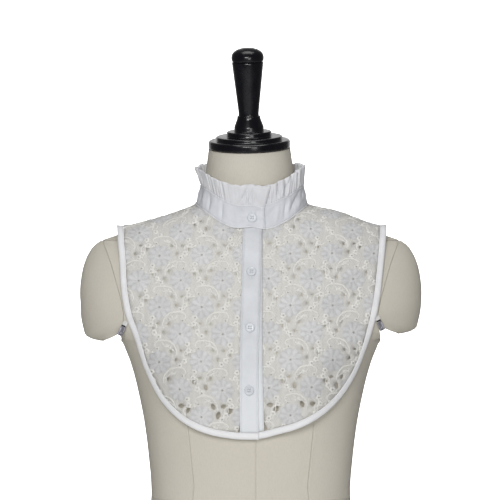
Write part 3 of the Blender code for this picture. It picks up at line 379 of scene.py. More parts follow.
def neck_tilt(z):
    """The slope of a section: level on the body, tipped forward at the neck's top."""
    return math.tan(NECK_TILT) * smooth((z - TIP_START) / TIP_RISE)


def neck_roll(z):
    """The sideways slope of a section, square to the neck's lean."""
    return -math.tan(NECK_ROLL) * smooth((z - TIP_START) / TIP_RISE)


def cloth_rows(z):
    """Half width, front, back and power of the cloth's section: the form's, stood off by its ease."""
    half, front, back, power = np.moveaxis(rows(FORM_ROWS, z), -1, 0)
    side_ease, front_ease, back_ease = np.moveaxis(rows(EASE_ROWS, z), -1, 0)
    return half + side_ease, front - front_ease, back + back_ease, power


def lift(x, z, ridge):
    """How far the cloth rises over the shoulders, fading below the ridge."""
    amount, middle, spread = LEFT_SHOULDER_LIFT
    corner, at, width = CORNER_LIFT
    raised = amount * np.exp(-(((x - middle) / spread) ** 2))
    raised = raised + corner * np.exp(-(((np.abs(x) - at) / width) ** 2))
    return raised * np.exp(-((ridge - z) / LIFT_DEPTH))


class Cloth:
    """One face of the cloth, front or back, as a map from side and run to a point.

    The side is x. The run is the length up the cloth in the plane of that side, counted from a level line.
    """

    def __init__(self, facing):
        self.facing = facing
        self.sides = np.arange(-CLOTH_REACH, CLOTH_REACH + 0.1, CLOTH_PITCH)
        self.runs = np.arange(LOWEST_RUN, HIGHEST_RUN + 0.1, CLOTH_PITCH)
        foot, head = EASE_ROWS[0][0], EASE_ROWS[-1][0]
        heights = foot + (head - foot) * (1 - (1 - np.linspace(0, 1, LINE_POINTS)) ** 2)
        half = cloth_rows(heights)[0]
        self.points = np.zeros((len(self.sides), len(self.runs), 3))
        self.ridge = np.zeros(len(self.sides))
        self.lines = []
        for index, x in enumerate(self.sides):
            inside = half > abs(x)
            upper = heights > SHOULDER_START
            reached = abs(x) > half[-1]
            top = np.interp(-abs(x), -half[upper], heights[upper]) if reached else heights[-1]
            z = np.append(heights[inside & (heights < top)], top)
            wide, near, far, bend = cloth_rows(z)
            deep = (far - near) / 2 * np.maximum(1 - np.minimum(abs(x) / wide, 1) ** bend, 0) ** (1 / bend)
            y = (near + far) / 2 + facing * deep
            if facing < 0:
                y = y - bust(x, np.maximum(z, BUST_HEIGHT))
            raised = z + lift(x, z, top)
            run = np.concatenate([[0], np.cumsum(np.hypot(np.diff(y), np.diff(raised)))])
            run = run - np.interp(LACE_LEVEL, raised, run) + LACE_START
            self.lines.append((run, y, raised, z))
            self.ridge[index] = run[-1]
            self.points[index, :, 0] = x
            self.points[index, :, 1] = np.interp(self.runs, run, y)
            self.points[index, :, 2] = np.interp(self.runs, run, raised)

    def run_at(self, x, z):
        """The run of the point at this side and height."""
        spots = [np.interp(z, line[2], line[0]) for line in self.lines]
        return float(np.interp(x, self.sides, spots))

    def ridge_at(self, x):
        """The run of the top of the shoulder at this side."""
        return np.interp(x, self.sides, self.ridge)

    def frame_at(self, x, run):
        """Points and outward normals at these sides and runs, read from the map between its lines."""
        x, run = np.asarray(x, float), np.asarray(run, float)
        i = np.clip((x - self.sides[0]) / CLOTH_PITCH, 0, len(self.sides) - 1.001)
        j = np.clip((run - self.runs[0]) / CLOTH_PITCH, 0, len(self.runs) - 1.001)
        a, b = i.astype(int), j.astype(int)
        s, t = (i - a)[..., None], (j - b)[..., None]
        grid = self.points
        low = grid[a, b] * (1 - s) + grid[a + 1, b] * s
        high = grid[a, b + 1] * (1 - s) + grid[a + 1, b + 1] * s
        across = (grid[a + 1, b] - grid[a, b]) * (1 - t) + (grid[a + 1, b + 1] - grid[a, b + 1]) * t
        along = high - low
        out = np.cross(across, along) * -self.facing
        out = out / np.maximum(np.linalg.norm(out, axis=-1, keepdims=True), 1e-9)
        return low * (1 - t) + high * t, out

    def step(self, spots, vectors):
        """Sides and runs after a small step along the surface from each spot."""
        x, run = spots[:, 0], spots[:, 1]
        across = self.frame_at(x + 1.0, run)[0] - self.frame_at(x - 1.0, run)[0]
        along = self.frame_at(x, run + 1.0)[0] - self.frame_at(x, run - 1.0)[0]
        across, along = across / 2, along / 2
        e, f, g = (across**2).sum(1), (across * along).sum(1), (along**2).sum(1)
        a, b = (across * vectors).sum(1), (along * vectors).sum(1)
        area = e * g - f * f
        return spots + np.column_stack([(a * g - b * f) / area, (b * e - a * f) / area])

    def place(self, x, run, raised=0.0):
        """Points of the cloth moved out by raised."""
        point, out = self.frame_at(x, run)
        return point + out * np.broadcast_to(raised, point.shape[:-1])[..., None]


FRONT, BACK = Cloth(-1), Cloth(1)
FORWARD = np.array([0.0, -1.0, 0.0])


def edge_path(table, count):
    """Points down an edge of the bib, evenly spaced on a smooth curve through its rows."""
    spots = np.array(table, float)
    along = np.concatenate([[0], np.cumsum(np.hypot(*np.diff(spots, axis=0).T))])
    fine = rows(np.column_stack([along, spots]), np.linspace(0, along[-1], 400))
    length = np.concatenate([[0], np.cumsum(np.hypot(*np.diff(fine, axis=0).T))])
    even = np.linspace(0, length[-1], count)
    return np.column_stack([np.interp(even, length, fine[:, 0]), np.interp(even, length, fine[:, 1])])


def edge_runs(cloth, path, sign):
    """An edge path as side and run on the cloth, its first point on the shoulder seam."""
    x = path[:, 0] * sign
    run = np.array([cloth.run_at(a, b) for a, b in zip(x, path[:, 1])])
    run[0] = cloth.ridge_at(x[0])
    return np.column_stack([x, np.minimum(run, cloth.ridge_at(x) - SEAM_GAP / 2)])


def inset(cloth, edge, width, sign):
    """The edge moved in over the cloth by width, square to itself on the cloth's own surface."""
    spots = edge
    for _ in range(2):
        point, out = cloth.frame_at(spots[:, 0], spots[:, 1])
        inward = np.cross(out, np.gradient(point, axis=0)) * sign * -cloth.facing
        inward /= np.linalg.norm(inward, axis=1, keepdims=True)
        spots = cloth.step(spots, inward * width / 2)
        spots[:, 1] = np.minimum(spots[:, 1], cloth.ridge_at(spots[:, 0]) - SEAM_GAP / 2)
    return spots


def round_neck(angles):
    """How far a loop reaches sideways and forwards at these angles, as shares of its half sizes.

    It is an oval behind. In front it is squarer, like the neck of the form.
    """
    power = 2.0 + (FRONT_POWER - 2.0) * smooth(np.cos(angles) * 2.5)
    size = (np.abs(np.sin(angles)) ** power + np.abs(np.cos(angles)) ** power) ** (-1 / power)
    return np.sin(angles) * size, np.cos(angles) * size


def foot_spot(angle):
    """The cloth and the side and run on it of the band's foot at an angle round the neck."""
    half, front, back, middle = BAND_FOOT
    aside, ahead = round_neck(angle)
    x = middle + half * aside
    y = (front + back) / 2 - (back - front) / 2 * ahead
    cloth = FRONT if y < np.interp(x, FRONT.sides, FRONT.points[:, -1, 1]) else BACK
    order = slice(None, None, -cloth.facing)
    runs = [np.interp(y, line[1][order], line[0][order]) for line in cloth.lines]
    return cloth, np.array([x, float(np.interp(x, cloth.sides, runs))])


def neck_angle(x):
    """The angle at which the band's foot has this side, in front."""
    angles = np.linspace(-0.8, 0.8, 81)
    return float(np.interp(x, BAND_FOOT[3] + BAND_FOOT[0] * round_neck(angles)[0], angles))


def neckline(start, end, count):
    """The lace's cut edge round the neck between two angles: downhill of the band's foot by a seam."""
    spots = []
    for angle in np.linspace(start, end, count):
        cloth, spot = foot_spot(angle)
        out = cloth.frame_at(*spot)[1]
        down = out * out[2] - np.array([0.0, 0.0, 1.0])
        down /= np.linalg.norm(down)
        reach = NECK_SEAM + (BAND_WALL / 2 + SEAM_GAP / 2) * abs(out[2])
        spot = cloth.step(spot[None], down[None] * reach)[0]
        spots.append((spot[0], min(spot[1], float(cloth.ridge_at(spot[0])) - SEAM_GAP / 2)))
    return np.array(spots)


def inside(polygon, spots):
    """Which spots lie inside a closed outline, by counting the sides that a line to the right crosses."""
    x, y = spots[:, 0:1], spots[:, 1:2]
    ax, ay = polygon[:, 0], polygon[:, 1]
    bx, by = np.roll(ax, -1), np.roll(ay, -1)
    crosses = (ay > y) != (by > y)
    at = ax + (y - ay) * (bx - ax) / np.where(by == ay, 1e-9, by - ay)
    return (np.sum(crosses & (x < at), axis=1) % 2) == 1


def nearest_points(polygon, spots):
    """The point of each side of an outline that is nearest to each spot, and how far it is."""
    side = np.roll(polygon, -1, axis=0) - polygon
    t = np.einsum("ijk,jk->ij", spots[:, None] - polygon, side) / np.maximum((side**2).sum(1), 1e-9)
    near = polygon + np.clip(t, 0, 1)[..., None] * side
    return near, np.linalg.norm(spots[:, None] - near, axis=2)


def edge_distance(polygon, spots):
    """Distance from each spot to the nearest side of an outline."""
    return nearest_points(polygon, spots)[1].min(axis=1)


def shoulder_seam(cloth, start, end):
    """Points along the top of the shoulder between two sides, ends left out."""
    x = np.linspace(start, end, 12)[1:-1]
    return np.column_stack([x, cloth.ridge_at(x) - SEAM_GAP / 2])


def closing_edge(name, outer):
    """The lace's straight edge at the placket, bottom to top."""
    order = np.argsort(outer[:, 0])
    foot = float(np.interp(0, outer[order, 0], outer[order, 1]))
    heights = np.linspace(PLACKET_MIDDLE[0][0], PLACKET_HEAD + 4.0, 24)
    if name == "front_right":
        x = rows(PLACKET_MIDDLE, heights)[:, 0] - PLACKET_WIDTH / 2 + PLACKET_LAP
    else:
        x = rows(UNDER_REACH, heights)[:, 0] + SEAM_GAP
    run = np.array([FRONT.run_at(a, b) for a, b in zip(x, heights)])
    keep = run > foot + 4.0
    return np.column_stack([x, run])[keep]


def binding_lift(name, loop):
    """The wearer's right binding rides over the left one where the fronts overlap."""
    if name != "front_right":
        return np.zeros(len(loop))
    return OVERLAP_RIDE * smooth((loop[:, 0] - OVERLAP_RAMP[0]) / (OVERLAP_RAMP[1] - OVERLAP_RAMP[0]))


def placket_lift(z):
    """How far the top placket rides over the cloth: a little more at its foot, where the bindings cross."""
    return PLACKET_LIFT + FOOT_LIFT * (1 - smooth((z - FOOT_LIFT_TOP) / FOOT_LIFT_FADE))


def shifted(table, by):
    """A line down the front, as its side at each height, moved sideways."""
    return lambda z: rows(table, z)[:, 0] + by


def strip_down(left, right, foot, lifts):
    """A strip that hangs down the front between two side lines, from the head to its own foot line."""
    grid = []
    for share in np.linspace(0, 1, PLACKET_ROWS):
        level = foot[:, 1] + (PLACKET_HEAD - foot[:, 1]) * share
        a, b = left(level), right(level)
        x = a + (b - a) * np.linspace(0, 1, len(foot))
        run = np.array([FRONT.run_at(side, z) for side, z in zip(x, level)])
        grid.append(FRONT.place(x, run, lifts(level)))
    return np.array(grid)


def foot_line_of(name, table, side, start, end):
    """Side and height of a placket's foot, a seam above the inner edge of the binding under it."""
    inner = inset(FRONT, edge_runs(FRONT, edge_path(table, EDGE_POINTS), side), BINDING_WIDTH, -side)
    spots = FRONT.place(inner[:, 0], inner[:, 1], binding_lift(name, inner))
    order = np.argsort(spots[:, 0])
    x = np.linspace(start, end, PLACKET_COLUMNS)
    return np.column_stack([x, np.interp(x, spots[order, 0], spots[order, 2]) + BINDING_SEAM])


def collar_points(angles, levels, swing=0.0):
    """Points of the stand: level 0 at the band's foot, 1 at its head, 2 at the ruffle's edge.

    The three loops are ovals. A point's height is the cloth's at the foot plus the band's and the ruffle's
    rise. The over end is lifted clear of the under end, and swing moves a point in or out.
    """
    loops = zip(BAND_FOOT, BAND_HEAD, RUFFLE_HEAD)
    half, front, back, middle = (np.interp(levels, (0, 1, 2), column) for column in loops)
    aside, ahead = round_neck(angles)
    deep = (back - front) / 2
    degrees = np.degrees(angles)
    band = rows(BAND_RISE, degrees)[..., 0] * np.minimum(levels, 1)
    ruffle = rows(RUFFLE_RISE, degrees)[..., 0] * np.maximum(levels - 1, 0)
    out = np.stack([np.sin(angles) * deep, -np.cos(angles) * half], axis=-1)
    out /= np.linalg.norm(out, axis=-1, keepdims=True)
    away = OVERLAP_LIFT * (1 - smooth((OVERLAP_START - angles) / OVERLAP_FADE)) + swing
    x = middle + half * aside + out[..., 0] * away
    y = (front + back) / 2 - deep * ahead + out[..., 1] * away
    return np.stack([x, y, foot_line(angles) + band + ruffle], axis=-1)


def foot_line(angles):
    """Height of the band's foot round the neck, which is the cloth's own height there."""
    heights = []
    for angle in np.radians(np.arange(0, 360, 6.0)):
        cloth, spot = foot_spot(angle)
        heights.append(cloth.frame_at(*spot)[0][2])
    return np.interp(np.degrees(angles) % 360, np.arange(0, 361, 6.0), heights + heights[:1])


def band_frame(angle, level):
    """A point of the band and its outward normal."""
    turn = math.radians(1.0)
    spots = collar_points(angle + turn * np.array([0, -1, 1, 0]), level + np.array([0, 0, 0, 0.05]))
    out = np.cross(spots[2] - spots[1], spots[3] - spots[0])
    return spots[0], out / np.linalg.norm(out)


def ruffle_swing(share):
    """In and out of the gathers along the ruffle: even waves, pushed about by slower ones.

    They are calmer at both ends, where the ruffle lies on itself.
    """
    turns = 2 * math.pi * share
    wave = np.sin(RUFFLE_WAVES * turns + 1.2 * np.sin(5 * turns + 0.6) + 0.6 * np.sin(11 * turns))
    size = 0.72 + 0.28 * np.sin(7 * turns + 1.1)
    calm = smooth((share - 0.02) / 0.12) * smooth((0.95 - share) / 0.06)
    return RUFFLE_SWING * wave * size * (0.3 + 0.7 * calm)


def grid_faces(rows_count, columns):
    """Four-sided faces of a grid of points."""
    i, j = np.meshgrid(np.arange(rows_count - 1), np.arange(columns - 1), indexing="ij")
    first = (i * columns + j).ravel()
    return np.column_stack([first, first + 1, first + columns + 1, first + columns])


def facing_matrix(point, out):
    """A frame at a point whose own Z runs along out."""
    turn = Vector(out).to_track_quat("Z", "Y").to_matrix().to_4x4()
    return Matrix.Translation(Vector(point) * MM) @ turn


def finer(heights, step):
    """Heights with others set evenly between them, none further apart than step."""
    pairs = zip(heights, heights[1:])
    parts = [np.linspace(a, b, max(1, round((b - a) / step)) + 1)[:-1] for a, b in pairs]
    return np.append(np.concatenate(parts), heights[-1])


def form_sections():
    """The torso as rings: a rounded box |x/a|^p + |y/b|^p = 1 at each height, cut flat at the armholes."""
    sections = []
    armhole = [float(rows(ARMHOLE_ROWS, z)[0]) for z in TORSO_HEIGHTS]
    for z in finer(TORSO_HEIGHTS, SECTION_STEP):
        half, front, back, power = rows(FORM_ROWS, z)
        reach = float(np.interp(z, TORSO_HEIGHTS, armhole))
        cut = ARMHOLE_ROWS[0][0] < z < CAP_TOP + 0.5
        corner = math.asin(min(1.0, reach / half) ** (power / 2)) if cut else math.radians(62)
        arcs = np.concatenate([
            np.linspace(0, corner, FRONT_STEPS + 1),
            np.linspace(corner, math.pi - corner, SIDE_STEPS + 1)[1:-1],
            np.linspace(math.pi - corner, math.pi, BACK_STEPS + 1),
        ])
        x = half * np.abs(np.sin(arcs)) ** (2 / power)
        deep = (back - front) / 2 * np.abs(np.cos(arcs)) ** (2 / power)
        y = (front + back) / 2 - deep * np.sign(np.cos(arcs))
        x = np.minimum(x, reach) if cut else x
        y = y - bust(x, z) * (np.cos(arcs) > 0) * smooth(np.cos(arcs) * 3)
        half_ring = np.stack([x, y], axis=1)
        ring = np.concatenate([half_ring, (half_ring * (-1, 1))[-2:0:-1]])
        tipped = z + neck_tilt(z) * (ring[:, 1] - (front + back) / 2) + neck_roll(z) * ring[:, 0]
        sections.append(np.column_stack([ring[:, 0] + lean(z), ring[:, 1], tipped]))
    return np.array(sections)


def cap_sections(side):
    """A shoulder cap as rings: the form's outline outside the armhole, drawn in to a round foot."""
    foot = CAP_BOTTOM["left" if side > 0 else "right"]
    heights = [foot + rise for rise in (0.0, 0.7, 1.6, 3.2, 5.5, 8.0, 11.0)]
    low, high = heights[-1] + 2, CAP_TOP - 1
    heights += [z for z in finer(TORSO_HEIGHTS, SECTION_STEP) if low < z < high] + [CAP_TOP]
    armhole = [float(rows(ARMHOLE_ROWS, z)[0]) for z in TORSO_HEIGHTS]
    turns = np.linspace(-math.pi / 2, math.pi / 2, 61)
    sections = []
    for z in heights:
        half, front, back, power = rows(FORM_ROWS, max(z, CAP_SECTION))
        inner = float(np.interp(z, TORSO_HEIGHTS, armhole)) + SEAM_GAP + 0.1
        drawn = CAP_DRAW * float(smooth((foot + CAP_DRAW_RISE - z) / CAP_DRAW_RISE))
        half = max(half, inner + 0.4) - drawn
        x = inner + (half - inner) * np.cos(turns)
        deep = (back - front) / 2 * np.maximum(1 - (x / half) ** power, 0) ** (1 / power)
        y = (front + back) / 2 + deep * np.sign(turns)
        rounding = np.where(x < CAP_FOOT[0], CAP_INNER_ROUNDING, CAP_ROUNDING)
        draw = np.sqrt(np.maximum(1 - np.maximum(1 - (z - foot) / rounding, 0) ** 2, 0.05))
        draw = np.where(x < CAP_FOOT[0], draw**2, draw)
        spread = math.sqrt(max(1 - max(1 - (z - foot) / CAP_SPREAD, 0) ** 2, 0.05))
        x = CAP_FOOT[0] + (x - CAP_FOOT[0]) * draw
        y = CAP_FOOT[1] + (y - CAP_FOOT[1]) * (0.3 + 0.7 * spread)
        sections.append(np.column_stack([side * x, y, np.full_like(x, z)]))
    return np.array(sections)


def circle(count):
    """Angles set evenly round a full turn."""
    return np.linspace(0, 2 * math.pi, count + 1)[:-1]


def flat_turn(angle):
    """The matrix that turns rows of flat points by an angle."""
    return np.array([(math.cos(angle), math.sin(angle)), (-math.sin(angle), math.cos(angle))])


def lattice(outline, origin):
    """The flowers' middles over an outline, every second row half a pitch aside and mirrored (-1)."""
    low = np.floor((outline.min(axis=0) - origin) / FLOWER_PITCH).astype(int) - 1
    high = np.ceil((outline.max(axis=0) - origin) / FLOWER_PITCH).astype(int) + 1
    for row in range(low[1], high[1] + 1):
        for column in range(low[0], high[0] + 1):
            flower = np.array(origin) + np.array(FLOWER_PITCH) * (column + 0.5 * (row % 2), row)
            yield flower, -1 if row % 2 else 1


def lace_gaps(outline, origin, cut):
    """The lace's gaps that fit inside an outline: pointed ovals (cos t, sin t |sin t|^0.3) at each flower.

    Above the hem the net draws them in to about half, and on the shoulders it closes them.
    """
    turn = circle(12)
    oval = np.column_stack([np.cos(turn), np.sin(turn) * np.abs(np.sin(turn)) ** 0.3])
    gaps = []
    for flower, mirror in lattice(outline, origin):
        for across, up, length, width, slope in LACE_GAPS[:cut]:
            leaf = oval * (length / 2, width / 2) @ flat_turn(math.radians(slope))
            gaps.append((leaf + (across, up)) * (mirror, 1) + flower)
    middles = np.array([gap.mean(axis=0) for gap in gaps])
    fits = inside(outline, middles) & (edge_distance(outline, middles) > GAP_MARGIN)
    across = np.abs(middles[:, 0])
    closed_from = outline[:, 1].max() - CLOSED_DROP - CLOSED_SLOPE * (across - CLOSED_SIDE)
    fits &= (across < CLOSED_SIDE) | (middles[:, 1] < closed_from)
    kept = []
    for gap, middle in zip(np.array(gaps)[fits], middles[fits]):
        near_hem = smooth((outline[:, 1].min() + WIDEN_FROM - middle[1]) / WIDEN_OVER)
        kept.append(middle + (gap - middle) * (DRAWN_IN + (1 - DRAWN_IN) * near_hem))
    return kept


def flat_lace(outline, gaps):
    """The panel laid flat: points and triangles inside the outline and outside the gaps."""
    low, high = outline.min(axis=0), outline.max(axis=0)
    across, up = np.meshgrid(*(np.arange(a, b, GRID_PITCH) for a, b in zip(low, high)))
    across = across + GRID_PITCH / 2 * (np.arange(len(across)) % 2)[:, None]
    grid = np.column_stack([across.ravel(), up.ravel()])
    grid = grid[inside(outline, grid) & (edge_distance(outline, grid) > GRID_PITCH * EDGE_CLEAR)]
    middles = np.array([gap.mean(axis=0) for gap in gaps])
    grid = grid[np.linalg.norm(grid[:, None] - middles, axis=2).min(axis=1) > GAP_CLEAR]
    loops = [outline] + gaps
    spots = np.concatenate(loops + [grid])
    edges, start = [], 0
    for loop in loops:
        edges += [(start + i, start + (i + 1) % len(loop)) for i in range(len(loop))]
        start += len(loop)
    found = delaunay_2d_cdt([Vector(spot) for spot in spots], edges, [], 0, 1e-4)
    points = np.array([tuple(point) for point in found[0]])
    faces = np.array([tuple(face) for face in found[2]])
    centres = points[faces].mean(axis=1)
    keep = inside(outline, centres)
    for gap in gaps:
        near = np.linalg.norm(centres - gap.mean(axis=0), axis=1) < GAP_REACH
        keep[near] &= ~inside(gap, centres[near])
    faces = faces[keep]
    used = np.unique(faces)
    renumber = np.zeros(len(points), int)
    renumber[used] = np.arange(len(used))
    return points[used], renumber[faces]


def panel_outline(name):
    """A lace panel's outline, flat, with the cloth that it lies on and its first flower."""
    if name == "lace_back":
        whole = np.concatenate([back_edge(-1), back_edge(1)[-2::-1]])
        outer = inset(BACK, whole, BINDING_WIDTH + BINDING_SEAM, 1)
        neck = neckline(SHOULDER_ANGLE, 2 * math.pi - SHOULDER_ANGLE, BACK_NECK_POINTS)
        left_seam = shoulder_seam(BACK, outer[-1, 0], neck[0, 0])
        outline = [outer, left_seam, neck, shoulder_seam(BACK, neck[-1, 0], outer[0, 0])]
        return BACK, np.concatenate(outline), BACK_FLOWER
    side, table, flower = FRONT_PANELS[name]
    edge = edge_runs(FRONT, edge_path(table, EDGE_POINTS), side)
    outer = inset(FRONT, edge, BINDING_WIDTH + BINDING_SEAM, -side)
    closing = closing_edge(name.replace("lace_", ""), outer)
    neck = neckline(neck_angle(closing[-1, 0]), side * SHOULDER_ANGLE, FRONT_NECK_POINTS)
    closing = closing[closing[:, 1] < neck[0, 1] - HEAD_ROOM]
    outer = outer[(outer[:, 0] * side) > closing[0, 0] * side + FOOT_ROOM]
    shoulder = shoulder_seam(FRONT, neck[-1, 0], outer[0, 0])
    return FRONT, np.concatenate([outer, closing, neck, shoulder]), flower


def back_edge(side):
    """Half of the back's outer edge, as side and run."""
    return edge_runs(BACK, edge_path(BACK_EDGE, BACK_EDGE_POINTS), side)


def add_piece(name, points, faces, finish, slot, replaced=(), maps=None, marks=None, sharp=None):
    """A mesh piece: points in millimetres, its UV maps and its named values, one for every point."""
    mesh = bpy.data.meshes.new(name)
    corners_of = [list(map(int, face)) for face in faces]
    mesh.from_pydata((np.asarray(points, float) * MM).tolist(), [], corners_of)
    mesh.validate()
    corners = np.zeros(len(mesh.loops), int)
    mesh.loops.foreach_get("vertex_index", corners)
    for key, spots in (maps or {}).items():
        layer = mesh.uv_layers.new(name=key)
        layer.uv.foreach_set("vector", np.asarray(spots, np.float32)[corners].ravel())
    for key, values in (marks or {}).items():
        layer = mesh.attributes.new(name=key, type="FLOAT", domain="POINT")
        layer.data.foreach_set("value", np.asarray(values, np.float32))
    mesh.materials.append(finish)
    mesh.shade_smooth()
    if sharp:
        mesh.set_sharp_from_angle(angle=math.radians(sharp))
    piece = bpy.data.objects.new(name, mesh)
    bpy.context.scene.collection.objects.link(piece)
    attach(piece, "root")
    if replaced:
        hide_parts(*replaced)
    return piece


def ring_faces(levels, count):
    """Faces of a closed stack of rings, ends included, pointing out where the rings run anticlockwise."""
    i, j = np.meshgrid(np.arange(levels - 1), np.arange(count), indexing="ij")
    a, b = (i * count + j).ravel(), (i * count + (j + 1) % count).ravel()
    faces = np.column_stack([a, b, b + count, a + count]).tolist()
    return faces + [list(range(count))[::-1], list(range((levels - 1) * count, levels * count))]


def lay_length(grid):
    """Lengths along both directions of a grid of points, from its first row and its first column."""
    along = np.linalg.norm(np.diff(grid, axis=0), axis=-1)
    across = np.linalg.norm(np.diff(grid, axis=1), axis=-1)
    u = np.concatenate([np.zeros((1, grid.shape[1])), np.cumsum(along, axis=0)])
    v = np.concatenate([np.zeros((grid.shape[0], 1)), np.cumsum(across, axis=1)], axis=1)
    return u, v


def grid_normals(grid):
    """Unit normals of a grid of points: the cross product of its two directions."""
    out = np.cross(np.gradient(grid, axis=0), np.gradient(grid, axis=1))
    return out / np.maximum(np.linalg.norm(out, axis=-1, keepdims=True), 1e-9)


def add_cloth(name, grid, wall, finish, slot, replaced, outward, welt=0.0):
    """A cloth strip as a closed shell: the grid moved out and in by half its wall and joined round its rim.

    The wall thins to the rim as sqrt(1 - (1 - d)^2), d being the distance from the rim over the rounding.
    welt thickens it along the rim, where the cloth is turned in.
    """
    normals = grid_normals(grid)
    if (normals * outward).sum() < 0:
        normals = -normals
    u, v = lay_length(grid)
    rim = np.minimum(np.minimum(u, u[-1:] - u), np.minimum(v, v[:, -1:] - v))
    round_off = np.sqrt(np.maximum(1 - (1 - np.clip(rim / (wall * 0.5), 0, 1)) ** 2, 0.02))
    thick = wall * round_off * (1 + welt * smooth((5.5 - rim) / 0.8))
    top, under = grid + normals * thick[..., None] / 2, grid - normals * thick[..., None] / 2
    count = grid.shape[0] * grid.shape[1]
    top_faces = grid_faces(*grid.shape[:2])
    order = np.arange(count).reshape(grid.shape[:2])
    loop = np.concatenate([order[0, :-1], order[:-1, -1], order[-1, :0:-1], order[:0:-1, 0]])
    sides = np.column_stack([loop, np.roll(loop, -1), np.roll(loop, -1) + count, loop + count])
    facing = np.cross(grid[1, 0] - grid[0, 0], grid[0, 1] - grid[0, 0]) @ normals[0, 0]
    top_faces = top_faces[:, ::-1] if facing > 0 else top_faces
    sides = sides if facing > 0 else sides[:, ::-1]
    faces = np.concatenate([top_faces, top_faces[:, ::-1] + count, sides])
    edge = np.minimum(v, v[:, -1:] - v)
    sewn = np.stack([u, edge], axis=-1).reshape(-1, 2) * MM
    laid = np.stack([u, v], axis=-1).reshape(-1, 2) * MM
    maps = {"sewn": np.concatenate([sewn, sewn]), "laid": np.concatenate([laid, laid])}
    points = np.concatenate([top.reshape(-1, 3), under.reshape(-1, 3)])
    return add_piece(name, points, faces, finish, slot, replaced, maps)


def area_of(points, faces):
    """Area of a list of faces, in square metres, as two triangles each."""
    a, b, c = (points[np.asarray(faces)[:, k]] for k in (0, 1, 2))
    total = np.linalg.norm(np.cross(b - a, c - a), axis=1).sum() / 2
    if np.asarray(faces).shape[1] == 4:
        d = points[np.asarray(faces)[:, 3]]
        total += np.linalg.norm(np.cross(c - a, d - a), axis=1).sum() / 2
    return float(total) * MM * MM


def crease(angles, levels, table, reach, wide=1.0):
    """Sum of the creases: depth exp(-(p/length)^2) exp(-(q/width)^2), p along a crease and q across it.

    Lengths round the neck are the angle times its radius, and up the band the level times reach.
    """
    raised = np.zeros_like(angles)
    for angle, level, slope, length, width, depth in table:
        s = (angles - math.radians(angle)) * CREASE_RADIUS
        t = (levels - level) * reach
        a = math.radians(slope)
        p, q = s * math.cos(a) + t * math.sin(a), t * math.cos(a) - s * math.sin(a)
        raised += depth * np.exp(-((p / length) ** 2)) * np.exp(-((q / width / wide) ** 2))
    return raised


class Value:
    """A node socket that can stand in a sum: each operator adds one Math node."""

    def __init__(self, finish, socket):
        self.finish, self.socket = finish, socket

    def joined(self, operation, other=0.0, turned=False):
        """This value and another in one Math node, the other way round where turned."""
        pair = (other, self) if turned else (self, other)
        return self.finish.node("ShaderNodeMath", {"operation": operation}, *pair)

    def __add__(self, other):
        return self.joined("ADD", other)

    def __sub__(self, other):
        return self.joined("SUBTRACT", other)

    def __rsub__(self, other):
        return self.joined("SUBTRACT", other, True)

    def __mul__(self, other):
        return self.joined("MULTIPLY", other)

    def __abs__(self):
        return self.joined("ABSOLUTE")

    __radd__, __rmul__ = __add__, __mul__

    def wave(self):
        """Its sine."""
        return self.joined("SINE")

    def least(self, other):
        """The smaller of the two."""
        return self.joined("MINIMUM", other)

    def most(self, other):
        """The larger of the two."""
        return self.joined("MAXIMUM", other)

    def remainder(self, step):
        """What is left over after whole steps."""
        return self.joined("FLOORED_MODULO", step)


